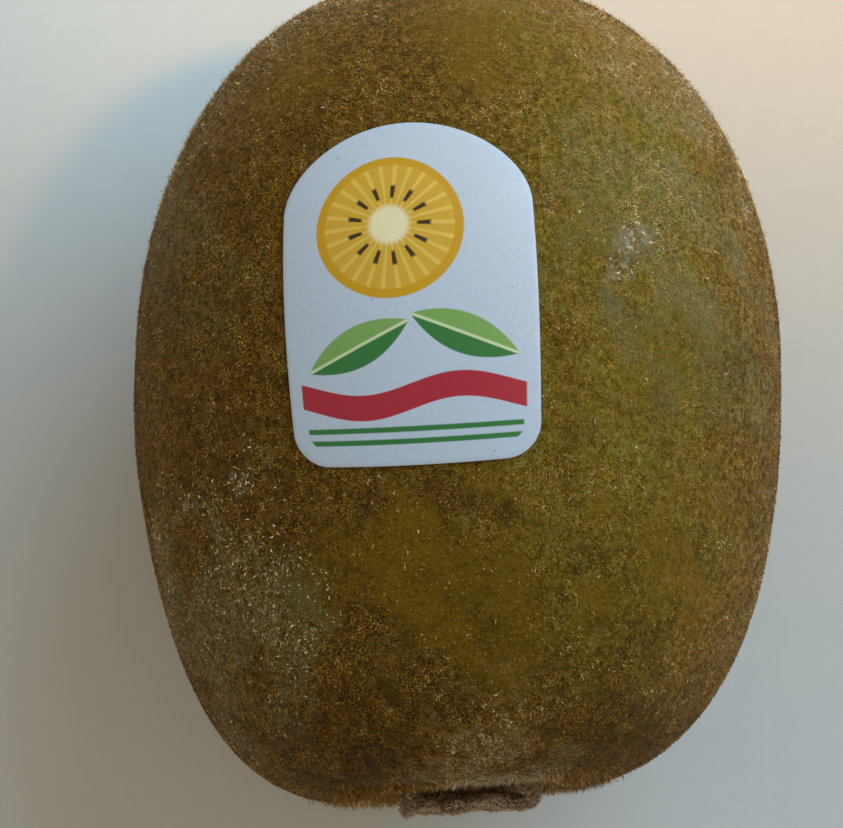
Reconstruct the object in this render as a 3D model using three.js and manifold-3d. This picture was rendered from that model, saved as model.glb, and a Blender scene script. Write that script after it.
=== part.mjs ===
// A golden kiwi fruit lying on its side, in millimetres. +Z is up and z = 0 is the surface that it rests on.
// The long axis runs along Y: the stem end points to -Y and the blossom end to +Y. The origin is at the foot's middle,
// under the fullest section of the fruit.
import * as THREE from "three";
import { mergeVertices } from "three/addons/utils/BufferGeometryUtils.js";
import Module from "manifold-3d";

const wasm = await Module();
wasm.setup();
const { Manifold, Mesh } = wasm;

// Driving dimensions of the fruit.
const WIDTH = 53.5; // across, along X
const HEIGHT = 50; // before the flat spot is pressed in, along Z
const STEM_LENGTH = 33.68; // from the fullest section to the stem end
const BLOSSOM_LENGTH = 34.6; // from the fullest section to the blossom end
const STEM_FULLNESS = 3.24; // superellipse exponent of the outline at the stem end, which is blunt
const BLOSSOM_FULLNESS = 2.24; // the same at the blossom end and round the middle
const SECTION_FULLNESS = 2.1; // of the cross section, which is a little squarish
const FLAT_DEPTH = 0.4; // how far the resting side is pressed flat
const STEM_LEAN = { across: 0.078, up: 0.28, reach: 8 }; // slopes of the stem end's face, up only this far from its middle
const BEND = { stem: 1.03, blossom: -0.24 }; // how far each end strays along X
const STEM_DIP = { depth: 2, radius: 8 };
const BLOSSOM_DIP = { depth: 1.2, radius: 4 };
const RIB_HEIGHT = 0.14; // of the shallow lengthwise undulations
const SKIN_SEGMENTS = { around: 72, along: 48 };

// The dried sepals round the stem scar.
const SEPAL = {
  count: 5, // evenly round the scar
  inner: 1.3, // from the scar's middle to the root, which is sunk in the scar
  outer: 6.1, // to the tip
  halfWidth: 3.2,
  thickness: 1.15,
  thinning: 0.45, // share of the thickness lost at the tip
  gap: 0.35, // least gap to the skin under the scar
  clearance: 0.68, // added to that gap under the sepals
  lift: 0.6, // how far the tip stands off
  level: { across: 0.05, up: 0.08 }, // slopes that take back a part of the end face's own
  curl: 2.4, // how sharply the last stretch turns back
  lean: 0.26, // how much one edge stands over the other, so that neighbours overlap
  ripple: 0.12,
  steps: 8, // of the grid each way
};
const STEM_SCAR = { radius: 2.7, height: 1.9, pitRadius: 1.5, pitDepth: 0.9 };

// The dried styles in the blossom end's dimple.
const STYLE_PAD = { radius: 1.7, height: 0.9, gap: 0.3 };
const STYLES = { count: 20, length: 2.6, rootRadius: 0.3, sunk: 0.4, spread: 1.15 };

// The label, by its own middle.
const LABEL = {
  x: -3.9, y: 8.1, turn: THREE.MathUtils.degToRad(3), halfWidth: 9.55, bottom: -13.3, shoulder: 6.6, archHeight: 6.8,
  cornerRadius: 2.6, gap: 0.2, thickness: 0.3, rings: 7,
};

const CENTRE_Z = HEIGHT / 2 - FLAT_DEPTH;
const GOLDEN_ANGLE = Math.PI * (3 - Math.sqrt(5));

/** A repeatable stream of numbers from 0 to 1. */
function randomStream(seed) {
  let state = seed >>> 0;
  return () => {
    state = (Math.imul(state, 1664525) + 1013904223) >>> 0;
    return state / 4294967296;
  };
}

/** A closed geometry as a manifold, for joining and cutting. */
function toSolid(geometry) {
  const plain = new THREE.BufferGeometry();
  plain.setAttribute("position", geometry.getAttribute("position").clone());
  plain.setIndex(geometry.getIndex() ? geometry.getIndex().clone() : null);
  const merged = mergeVertices(plain, 1e-5);
  const mesh = new Mesh({
    numProp: 3,
    vertProperties: new Float32Array(merged.getAttribute("position").array),
    triVerts: new Uint32Array(merged.getIndex().array),
  });
  mesh.merge();
  return new Manifold(mesh);
}

/** A manifold as a geometry again. */
function toGeometry(solid) {
  const mesh = solid.getMesh();
  const geometry = new THREE.BufferGeometry();
  const points = new Float32Array(mesh.numVert * 3);
  for (let i = 0; i < mesh.numVert; i++) {
    for (let k = 0; k < 3; k++) points[3 * i + k] = mesh.vertProperties[mesh.numProp * i + k];
  }
  geometry.setAttribute("position", new THREE.BufferAttribute(points, 3));
  geometry.setIndex(Array.from(mesh.triVerts));
  geometry.computeVertexNormals();
  return geometry;
}

/** The section's radius function: 1 on the fruit's fullest section. */
function sectionReach(x, z) {
  const m = SECTION_FULLNESS;
  return (Math.abs(x / (WIDTH / 2)) ** m + Math.abs(z / (HEIGHT / 2)) ** m) ** (1 / m);
}

/** How far the stem end's face stands back along Y: it reaches further at -X and below. */
function stemLean(x, z) {
  const { across, up, reach } = STEM_LEAN;
  return across * x + up * reach * Math.tanh(z / reach);
}

/** The skin's point in direction d from the fruit's middle, by that middle. */
function skinPoint(d) {
  const cross = sectionReach(d.x, d.z);
  const stemward = THREE.MathUtils.clamp((-d.y - 0.2) / 0.8, 0, 1);
  const fullness = THREE.MathUtils.lerp(BLOSSOM_FULLNESS, STEM_FULLNESS, stemward ** 2);
  const length = d.y < 0 ? STEM_LENGTH : BLOSSOM_LENGTH;
  const reach = (cross ** fullness + Math.abs(d.y / length) ** fullness) ** (-1 / fullness);
  const p = d.clone().multiplyScalar(reach);
  const axial = p.y < 0 ? -p.y / STEM_LENGTH : p.y / BLOSSOM_LENGTH;
  const turn = Math.atan2(p.z, p.x);
  const fade = 1 - THREE.MathUtils.smoothstep(axial, 0.55, 0.97);
  const rib = RIB_HEIGHT * (Math.cos(5 * turn + 0.7) + 0.6 * Math.cos(3 * turn - 1.1 + 1.4 * p.y / BLOSSOM_LENGTH)) * fade;
  const out = Math.hypot(p.x, p.z);
  if (out > 1e-6) {
    p.x += (rib * p.x) / out;
    p.z += (rib * p.z) / out;
  }
  const end = THREE.MathUtils.smoothstep(axial, 0.3, 1);
  const dip = p.y < 0 ? STEM_DIP : BLOSSOM_DIP;
  const hollow = dip.depth * Math.exp(-((out / dip.radius) ** 2));
  if (p.y < 0) p.y += (stemLean(p.x, p.z) + hollow) * end;
  else p.y -= hollow * end;
  p.x += (p.y < 0 ? BEND.stem : BEND.blossom) * axial ** 2;
  return p;
}

/** The skin's outward normal in direction d, from two small steps on the surface. */
function skinNormal(d) {
  const side = Math.abs(d.y) < 0.9 ? new THREE.Vector3(0, 1, 0) : new THREE.Vector3(1, 0, 0);
  const a = new THREE.Vector3().crossVectors(d, side).normalize();
  const b = new THREE.Vector3().crossVectors(d, a).normalize();
  const step = 0.01;
  const along = (v) => {
    const ahead = skinPoint(d.clone().addScaledVector(v, step).normalize());
    return ahead.sub(skinPoint(d.clone().addScaledVector(v, -step).normalize()));
  };
  const normal = new THREE.Vector3().crossVectors(along(a), along(b)).normalize();
  return normal.dot(d) < 0 ? normal.negate() : normal;
}

/** The end surface's place along Y beside the end's own middle, for the stem end (-1) or the blossom end (+1). */
function endHeight(x, z, side) {
  const fullness = side < 0 ? STEM_FULLNESS : BLOSSOM_FULLNESS;
  const length = side < 0 ? STEM_LENGTH : BLOSSOM_LENGTH;
  const dip = side < 0 ? STEM_DIP : BLOSSOM_DIP;
  const hollow = dip.depth * Math.exp(-((Math.hypot(x, z) / dip.radius) ** 2));
  const y = length * (1 - sectionReach(x, z) ** fullness) ** (1 / fullness) - hollow;
  return side < 0 ? -y + stemLean(x, z) : y;
}

/** The fruit with its resting side pressed flat. */
function fruitBody() {
  const ball = new THREE.SphereGeometry(1, SKIN_SEGMENTS.around, SKIN_SEGMENTS.along);
  const position = ball.getAttribute("position");
  const d = new THREE.Vector3();
  for (let i = 0; i < position.count; i++) {
    d.fromBufferAttribute(position, i);
    const polar = Math.acos(THREE.MathUtils.clamp(d.y, -1, 1));
    const moved = polar - 0.25 * Math.sin(2 * polar);
    const out = Math.hypot(d.x, d.z);
    if (out > 1e-6) d.set((Math.sin(moved) * d.x) / out, Math.cos(moved), (Math.sin(moved) * d.z) / out);
    const p = skinPoint(d);
    position.setXYZ(i, p.x, p.y, p.z);
  }
  const block = new THREE.BoxGeometry(2 * WIDTH, 4 * BLOSSOM_LENGTH, 20);
  block.translate(0, 0, -HEIGHT / 2 + FLAT_DEPTH - 10);
  return toGeometry(toSolid(ball).subtract(toSolid(block)));
}

/** A closed sheet from a grid of points on its lower and upper side. */
function sheet(rows, columns, lower, upper) {
  const points = [];
  const faces = [];
  const at = (r, c, top) => (r * columns + c) * 2 + top;
  for (let r = 0; r < rows; r++) {
    for (let c = 0; c < columns; c++) points.push(lower(r, c), upper(r, c));
  }
  const quad = (a, b, c, e) => faces.push(a, b, c, a, c, e);
  for (let r = 0; r + 1 < rows; r++) {
    for (let c = 0; c + 1 < columns; c++) {
      quad(at(r, c, 1), at(r, c + 1, 1), at(r + 1, c + 1, 1), at(r + 1, c, 1));
      quad(at(r, c, 0), at(r + 1, c, 0), at(r + 1, c + 1, 0), at(r, c + 1, 0));
    }
    quad(at(r, 0, 0), at(r, 0, 1), at(r + 1, 0, 1), at(r + 1, 0, 0));
    quad(at(r, columns - 1, 1), at(r, columns - 1, 0), at(r + 1, columns - 1, 0), at(r + 1, columns - 1, 1));
  }
  for (let c = 0; c + 1 < columns; c++) {
    quad(at(0, c, 1), at(0, c, 0), at(0, c + 1, 0), at(0, c + 1, 1));
    quad(at(rows - 1, c, 0), at(rows - 1, c, 1), at(rows - 1, c + 1, 1), at(rows - 1, c + 1, 0));
  }
  const geometry = new THREE.BufferGeometry();
  geometry.setAttribute("position", new THREE.Float32BufferAttribute(points.flatMap((p) => [p.x, p.y, p.z]), 3));
  geometry.setIndex(faces);
  return geometry;
}

/** A solid with its faces outwards, whichever way its sheet was wound. */
function outwardSolid(geometry) {
  const solid = toSolid(geometry);
  if (!solid.isEmpty() && solid.volume() > 0) return solid;
  const index = geometry.getIndex().array;
  for (let i = 0; i < index.length; i += 3) [index[i], index[i + 1]] = [index[i + 1], index[i]];
  return toSolid(geometry);
}

/** One sepal that lies over the stem end's rim, by the end's own middle. */
function sepal(turn, random) {
  const reach = SEPAL.outer * (0.92 + 0.16 * random());
  const halfWidth = SEPAL.halfWidth * (0.9 + 0.2 * random());
  const lift = SEPAL.lift * (0.6 + 0.8 * random());
  const skew = (random() - 0.5) * 0.8;
  const wave = random() * 6;
  const surface = (row, column, up) => {
    const v = row / SEPAL.steps; // 0 at the root, 1 at the tip
    const u = (2 * column) / SEPAL.steps - 1; // -1 and 1 at the edges
    const spread = 0.42 + 0.58 * Math.sin(Math.PI * (0.18 + 0.62 * v)) * (1 - 0.35 * v ** 6); // widest past the middle
    const tipRound = 1 - 0.16 * u * u * v;
    const radius = SEPAL.inner + (reach - SEPAL.inner) * v * tipRound;
    const across = u * halfWidth * spread + skew * v * v;
    const x = radius * Math.cos(turn) - across * Math.sin(turn);
    const z = radius * Math.sin(turn) + across * Math.cos(turn);
    const level = SEPAL.level.across * x + SEPAL.level.up * z;
    const stand = lift * v ** 3 + SEPAL.lean * (u + 1) * (0.4 + 0.6 * v) + level;
    const turnBack = SEPAL.curl * (2 * Math.max(0, v - 0.75)) ** 2;
    const ripple = SEPAL.ripple * Math.sin(wave + 3 * u + 4 * v) * v;
    const raise = SEPAL.gap + SEPAL.clearance + stand - turnBack + ripple;
    const thickness = SEPAL.thickness * (1 - SEPAL.thinning * v);
    return new THREE.Vector3(x, endHeight(x, z, -1) - raise - up * thickness, z);
  };
  const count = SEPAL.steps + 1;
  return outwardSolid(sheet(count, count, (row, column) => surface(row, column, 0), (row, column) => surface(row, column, 1)));
}

/** A turned solid along the fruit's axis; profile points are [radius, y]. */
function turned(profile, segments) {
  return outwardSolid(new THREE.LatheGeometry(profile.map(([r, y]) => new THREE.Vector2(r, y)), segments));
}

/** The dried sepals and the stem scar that they grow from. */
function driedSepals() {
  const random = randomStream(11);
  const foot = endHeight(0, 0, -1) - SEPAL.gap;
  const { radius, height, pitRadius, pitDepth } = STEM_SCAR;
  const scar = [
    [0, foot], [radius * 0.8, foot - 0.12], [radius, foot - 0.5], [radius * 0.94, foot - height * 0.8],
    [radius * 0.8, foot - height], [pitRadius, foot - height + 0.1], [pitRadius * 0.75, foot - height + pitDepth * 0.9],
    [0, foot - height + pitDepth],
  ];
  const slope = [1, STEM_LEAN.across, 0, 0, 0, 1, 0, 0, 0, STEM_LEAN.up, 1, 0, 0, 0, 0, 1]; // columns of a shear
  let solid = turned(scar, 20).transform(slope);
  for (let i = 0; i < SEPAL.count; i++) {
    const turn = ((i + 0.25) * 2 * Math.PI) / SEPAL.count + (random() - 0.5) * 0.25;
    solid = solid.add(sepal(turn, random));
  }
  return toGeometry(solid.translate([BEND.stem, 0, 0]));
}

/** The dried styles on their pad in the blossom end's dimple. */
function driedStyles() {
  const random = randomStream(29);
  const { radius, height, gap } = STYLE_PAD;
  const foot = endHeight(0, 0, 1) + gap;
  const pad = [
    [0, foot], [radius * 0.85, foot + 0.1], [radius, foot + height * 0.45], [radius * 0.75, foot + height * 0.9],
    [0, foot + height],
  ];
  let solid = turned(pad, 16);
  for (let i = 0; i < STYLES.count; i++) {
    const part = (i + 0.5) / STYLES.count;
    const turn = i * GOLDEN_ANGLE + (random() - 0.5) * 0.3;
    const seat = radius * 0.72 * Math.sqrt(part);
    const length = STYLES.length * (0.75 + 0.5 * random());
    const bristle = new THREE.ConeGeometry(STYLES.rootRadius, length + STYLES.sunk, 4, 1);
    bristle.translate(0, (length - STYLES.sunk) / 2, 0);
    bristle.rotateZ(-Math.atan(STYLES.spread * Math.sqrt(part) * (0.8 + 0.4 * random())));
    bristle.translate(seat, foot + height * 0.7, 0);
    bristle.rotateY(turn);
    solid = solid.add(toSolid(bristle));
  }
  return toGeometry(solid.translate([BEND.blossom, 0, 0]));
}

/** The label's outline by its own middle: rounded foot corners, straight sides and an arched head. */
function labelOutline() {
  const { halfWidth, bottom, shoulder, archHeight, cornerRadius: r } = LABEL;
  const points = [];
  const arc = (cx, cy, rx, ry, from, to, steps, first) => {
    for (let i = first; i <= steps; i++) {
      const a = THREE.MathUtils.degToRad(from + ((to - from) * i) / steps);
      points.push([cx + rx * Math.cos(a), cy + ry * Math.sin(a)]);
    }
  };
  arc(halfWidth - r, bottom + r, r, r, 270, 360, 5, 0);
  for (const part of [0.25, 0.5, 0.75]) points.push([halfWidth, THREE.MathUtils.lerp(bottom + r, shoulder, part)]);
  arc(0, shoulder, halfWidth, archHeight, 0, 180, 18, 0);
  for (const part of [0.25, 0.5, 0.75]) points.push([-halfWidth, THREE.MathUtils.lerp(shoulder, bottom + r, part)]);
  arc(-halfWidth + r, bottom + r, r, r, 180, 270, 5, 0);
  for (const part of [0.25, 0.5, 0.75]) points.push([THREE.MathUtils.lerp(-halfWidth + r, halfWidth - r, part), bottom]);
  return points;
}

/** The direction from the fruit's middle to the label's own point (u, v), wrapped on without stretching. */
function labelDirection(u, v) {
  const reach = Math.sqrt(1 - (LABEL.x / (WIDTH / 2)) ** 2 - (LABEL.y / BLOSSOM_LENGTH) ** 2);
  const middle = new THREE.Vector3(LABEL.x, LABEL.y, (HEIGHT / 2) * reach);
  const normal = skinNormal(middle.clone().normalize());
  const up = new THREE.Vector3(-Math.sin(LABEL.turn), Math.cos(LABEL.turn), 0);
  const across = new THREE.Vector3().crossVectors(up, normal).normalize();
  const along = new THREE.Vector3().crossVectors(normal, across);
  const wrap = (s, radius) => radius * Math.tan(s / radius);
  return middle.addScaledVector(across, wrap(u, WIDTH / 2)).addScaledVector(along, wrap(v, 1.35 * BLOSSOM_LENGTH)).normalize();
}

/** The label, a thin skin that follows the fruit with an even gap. */
function label() {
  const outline = labelOutline();
  const count = outline.length;
  const points = [];
  const faces = [];
  const layer = (offset) => {
    const first = points.length;
    for (let ring = 0; ring < LABEL.rings; ring++) {
      const part = ring / (LABEL.rings - 1);
      for (const [u, v] of ring ? outline : [[0, 0]]) {
        const d = labelDirection(u * part, v * part);
        points.push(skinPoint(d).addScaledVector(skinNormal(d), offset));
      }
    }
    return first;
  };
  const under = layer(LABEL.gap);
  const over = layer(LABEL.gap + LABEL.thickness);
  const at = (first, ring, i) => (ring ? first + 1 + (ring - 1) * count + (i % count) : first);
  const cap = (first, flip) => {
    const face = (a, b, c) => (flip ? faces.push(a, c, b) : faces.push(a, b, c));
    for (let i = 0; i < count; i++) {
      face(at(first, 0, 0), at(first, 1, i), at(first, 1, i + 1));
      for (let ring = 1; ring + 1 < LABEL.rings; ring++) {
        face(at(first, ring, i), at(first, ring + 1, i), at(first, ring + 1, i + 1));
        face(at(first, ring, i), at(first, ring + 1, i + 1), at(first, ring, i + 1));
      }
    }
  };
  cap(over, false);
  cap(under, true);
  const rim = LABEL.rings - 1;
  for (let i = 0; i < count; i++) {
    const [a, b, c, e] = [at(under, rim, i), at(under, rim, i + 1), at(over, rim, i + 1), at(over, rim, i)];
    faces.push(a, b, c, a, c, e);
  }
  const geometry = new THREE.BufferGeometry();
  geometry.setAttribute("position", new THREE.Float32BufferAttribute(points.flatMap((p) => [p.x, p.y, p.z]), 3));
  geometry.setIndex(faces);
  return toGeometry(outwardSolid(geometry));
}

const FINISHES = {
  skin: { color: "#6b5320", roughness: 0.75 },
  sepal: { color: "#463426", roughness: 0.9 },
  style: { color: "#2e2118", roughness: 0.9 },
  paper: { color: "#e8ecea", roughness: 0.45 },
};

/** A named mesh at its place in the finished fruit. */
function piece(name, finish, geometry) {
  geometry.translate(0, 0, CENTRE_Z);
  const mesh = new THREE.Mesh(geometry, new THREE.MeshStandardMaterial({ name: finish, metalness: 0, ...FINISHES[finish] }));
  mesh.name = name;
  return mesh;
}

const group = new THREE.Group();
group.name = "golden_kiwi_fruit";
group.add(piece("fruit_body", "skin", fruitBody()));
group.add(piece("dried_sepals", "sepal", driedSepals()));
group.add(piece("dried_styles", "style", driedStyles()));
group.add(piece("label", "paper", label()));

export default group;
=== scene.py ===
"""A golden kiwi fruit on its side, seen from straight above.

It has a fuzzy olive-brown skin, dried sepals and styles, and a paper label. Lengths are in metres unless a
name ends in _mm. +Y runs from the stem end to the blossom end and +Z is up.
"""

from __future__ import annotations

import logging
import math
from dataclasses import dataclass, field
from enum import Enum
from typing import Any, Callable, Iterator, Sequence

import bmesh
import bpy
import numpy as np
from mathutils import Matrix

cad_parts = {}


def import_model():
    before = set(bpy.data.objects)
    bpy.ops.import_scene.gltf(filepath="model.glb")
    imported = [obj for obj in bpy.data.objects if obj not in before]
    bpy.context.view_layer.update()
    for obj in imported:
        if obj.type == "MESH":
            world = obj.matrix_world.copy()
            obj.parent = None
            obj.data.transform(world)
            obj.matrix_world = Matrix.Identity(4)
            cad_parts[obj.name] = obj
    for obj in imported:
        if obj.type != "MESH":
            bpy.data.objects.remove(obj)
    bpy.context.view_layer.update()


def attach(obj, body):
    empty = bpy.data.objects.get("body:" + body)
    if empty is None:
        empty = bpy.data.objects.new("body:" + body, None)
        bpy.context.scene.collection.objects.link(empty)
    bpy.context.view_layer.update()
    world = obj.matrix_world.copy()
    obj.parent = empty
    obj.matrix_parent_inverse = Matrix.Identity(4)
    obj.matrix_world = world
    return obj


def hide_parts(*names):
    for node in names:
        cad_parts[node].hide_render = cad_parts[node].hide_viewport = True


MM = 0.001
GOLDEN_ANGLE = math.pi * (3 - math.sqrt(5))

log = logging.getLogger("kiwi")

Socket = Any
Value = Any
Shape = tuple[np.ndarray, list[list[int]]]


def linear(code: str) -> tuple[float, float, float, float]:
    """Turns an sRGB colour code into linear light.

    Args:
        code: a colour such as "#5a4708".

    Returns:
        Red, green, blue and an alpha of 1.
    """
    parts = [int(code[i : i + 2], 16) / 255 for i in (1, 3, 5)]
    light = [p / 12.92 if p <= 0.04045 else ((p + 0.055) / 1.055) ** 2.4 for p in parts]
    return light[0], light[1], light[2], 1.0


def fill(tree: bpy.types.NodeTree, socket: Socket, value: Value) -> None:
    """Links a socket to another node's output or gives it a value; a colour may be a colour code."""
    if isinstance(value, bpy.types.NodeSocket):
        tree.links.new(value, socket)
    elif isinstance(value, str) and socket.type == "RGBA":
        socket.default_value = linear(value)
    else:
        socket.default_value = value


def add_node(
    tree: bpy.types.NodeTree, kind: str, inputs: dict[Any, Value] | None = None, **settings: Any
) -> bpy.types.Node:
    """Adds one node and fills or links its inputs.

    Args:
        tree: the node tree.
        kind: the node's type name.
        inputs: socket name or number to a value or to another node's output.
        settings: the node's own properties.

    Returns:
        The new node.
    """
    node = tree.nodes.new(kind)
    for name, value in settings.items():
        setattr(node, name, value)
    for key, value in (inputs or {}).items():
        fill(tree, node.inputs[key], value)
    return node


@dataclass
class Sums:
    """Arithmetic on the sockets of one node tree."""

    tree: bpy.types.NodeTree

    def do(self, operation: str, *values: Value) -> Socket:
        """The result of one math operation on numbers or sockets."""
        return add_node(self.tree, "ShaderNodeMath", dict(enumerate(values)), operation=operation).outputs[0]

    def remap(
        self, value: Value, low: float, high: float, to_low: float = 0.0, to_high: float = 1.0
    ) -> Socket:
        """A value stretched from one range to another and held inside it."""
        inputs = {0: value, 1: low, 2: high, 3: to_low, 4: to_high}
        return add_node(self.tree, "ShaderNodeMapRange", inputs, interpolation_type="SMOOTHSTEP").outputs[0]

    def noise(self, place: Socket, size: float, detail: float = 3.0, rough: float = 0.55) -> Socket:
        """Noise whose blobs are about size across, from 0 to 1."""
        inputs = {"Vector": place, "Scale": 1 / size, "Detail": detail, "Roughness": rough}
        node = add_node(self.tree, "ShaderNodeTexNoise", inputs)
        return node.outputs[0]

    def split(self, vector: Socket) -> tuple[Socket, Socket, Socket]:
        """A vector's three numbers."""
        node = add_node(self.tree, "ShaderNodeSeparateXYZ", {0: vector})
        return node.outputs[0], node.outputs[1], node.outputs[2]

    def mix(self, amount: Value, below: Value, above: Value) -> Socket:
        """One colour laid over another; a colour is a code or a socket."""
        # The node's inputs 6 and 7 and its output 2 are the ones for colours.
        inputs = {0: amount, 6: below, 7: above}
        return add_node(self.tree, "ShaderNodeMix", inputs, data_type="RGBA").outputs[2]


@dataclass
class Paint:
    """A new material with its tree, its shader and its arithmetic."""

    name: str
    material: bpy.types.Material = field(init=False)
    sums: Sums = field(init=False)
    shader: Any = field(init=False)

    def __post_init__(self) -> None:
        """Makes the material with a bare shader."""
        self.material = bpy.data.materials.new(self.name)
        self.material.use_nodes = True
        tree = self.material.node_tree
        tree.nodes.clear()
        self.sums = Sums(tree)
        self.shader = add_node(tree, "ShaderNodeBsdfPrincipled")
        add_node(tree, "ShaderNodeOutputMaterial", {"Surface": self.shader.outputs[0]})

    def place_mm(self) -> Socket:
        """Object coordinates in millimetres."""
        tree = self.material.node_tree
        place = add_node(tree, "ShaderNodeTexCoord").outputs["Object"]
        inputs = {0: place, "Scale": 1 / MM}
        return add_node(tree, "ShaderNodeVectorMath", inputs, operation="SCALE").outputs[0]

    def set(self, **values: Value) -> None:
        """Fills or links the shader's sockets; underscores stand for spaces."""
        for name, value in values.items():
            fill(self.material.node_tree, self.shader.inputs[name.replace("_", " ")], value)

    def bump(self, height: Socket, depth_mm: float) -> None:
        """Raises the surface by a height socket of 0 to 1."""
        inputs = {"Height": height, "Distance": depth_mm * MM, "Strength": 1.0}
        self.set(Normal=add_node(self.material.node_tree, "ShaderNodeBump", inputs).outputs[0])


def random_stream(seed: int) -> Callable[[], float]:
    """The same repeatable stream of numbers from 0 to 1 that places the sepals and styles in the solids."""
    state = seed

    def draw() -> float:
        """The next number."""
        nonlocal state
        state = (state * 1664525 + 1013904223) % 2**32
        return state / 2**32

    return draw


def smooth(value: np.ndarray, low: float, high: float) -> np.ndarray:
    """A smooth step from 0 at low to 1 at high."""
    t = np.clip((value - low) / (high - low), 0, 1)
    return t * t * (3 - 2 * t)


def unit(vectors: np.ndarray) -> np.ndarray:
    """Vectors scaled to a length of 1."""
    return vectors / np.maximum(np.linalg.norm(vectors, axis=-1, keepdims=True), 1e-12)


def waves(points: np.ndarray, size: float, seed: int, count: int = 14) -> np.ndarray:
    """A smooth random height over points in space.

    Args:
        points: places, one a row.
        size: the length of a wave.
        seed: the seed of the waves' directions and phases.
        count: how many waves are added up.

    Returns:
        Heights of about -1 to 1.
    """
    draw = np.random.default_rng(seed)
    total = np.zeros(len(points))
    for _ in range(count):
        direction = unit(draw.normal(size=3))
        length = size * draw.uniform(0.7, 1.5)
        total += np.sin(points @ direction * 2 * math.pi / length + draw.uniform(0, 2 * math.pi))
    return total / math.sqrt(count) / 1.6


def new_object(
    name: str, points: np.ndarray, faces: Sequence[Sequence[int]], soft: bool = True
) -> bpy.types.Object:
    """A mesh object at the origin.

    Args:
        name: the piece's name.
        points: vertices, one a row.
        faces: vertex numbers of each face.
        soft: whether the faces are shaded smooth.

    Returns:
        The linked object.
    """
    mesh = bpy.data.meshes.new(name)
    mesh.from_pydata(np.asarray(points).tolist(), [], faces)
    mesh.polygons.foreach_set("use_smooth", [soft] * len(mesh.polygons))
    mesh.validate()
    mesh.update()
    piece = bpy.data.objects.new(name, mesh)
    bpy.context.scene.collection.objects.link(piece)
    return piece


def point_attribute(piece: bpy.types.Object, name: str, values: np.ndarray) -> None:
    """Stores one number or one vector on each vertex of a piece."""
    kind, key = ("FLOAT", "value") if values.ndim == 1 else ("FLOAT_VECTOR", "vector")
    layer = piece.data.attributes.new(name, kind, "POINT")
    layer.data.foreach_set(key, np.ascontiguousarray(values, dtype=np.float32).ravel())


def outward(piece: bpy.types.Object) -> None:
    """Turns the faces of a piece's closed shells outwards."""
    mesh = bmesh.new()
    mesh.from_mesh(piece.data)
    bmesh.ops.recalc_face_normals(mesh, faces=mesh.faces)
    mesh.to_mesh(piece.data)
    mesh.free()


def ring_faces(rows: int, segments: int) -> list[list[int]]:
    """The faces between rows of rings, each ring of as many points."""
    faces = []
    for row in range(rows - 1):
        for k in range(segments):
            a, b = row * segments + k, row * segments + (k + 1) % segments
            faces.append([a, b, b + segments, a + segments])
    return faces


def turned_faces(rows: int, segments: int) -> list[list[int]]:
    """The faces of a closed turned form: its rings, then the points at its foot and at its top."""
    foot, top, last = rows * segments, rows * segments + 1, (rows - 1) * segments
    faces = ring_faces(rows, segments)
    faces += [[foot, (k + 1) % segments, k] for k in range(segments)]
    faces += [[top, last + k, last + (k + 1) % segments] for k in range(segments)]
    return faces


def joined(parts: Sequence[Shape]) -> Shape:
    """Several shapes as one."""
    faces = []
    start = 0
    for points, own_faces in parts:
        faces += [[start + k for k in face] for face in own_faces]
        start += len(points)
    return np.vstack([points for points, _ in parts]), faces


class End(Enum):
    """The two ends of the fruit."""

    STEM = -1
    BLOSSOM = 1


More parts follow.
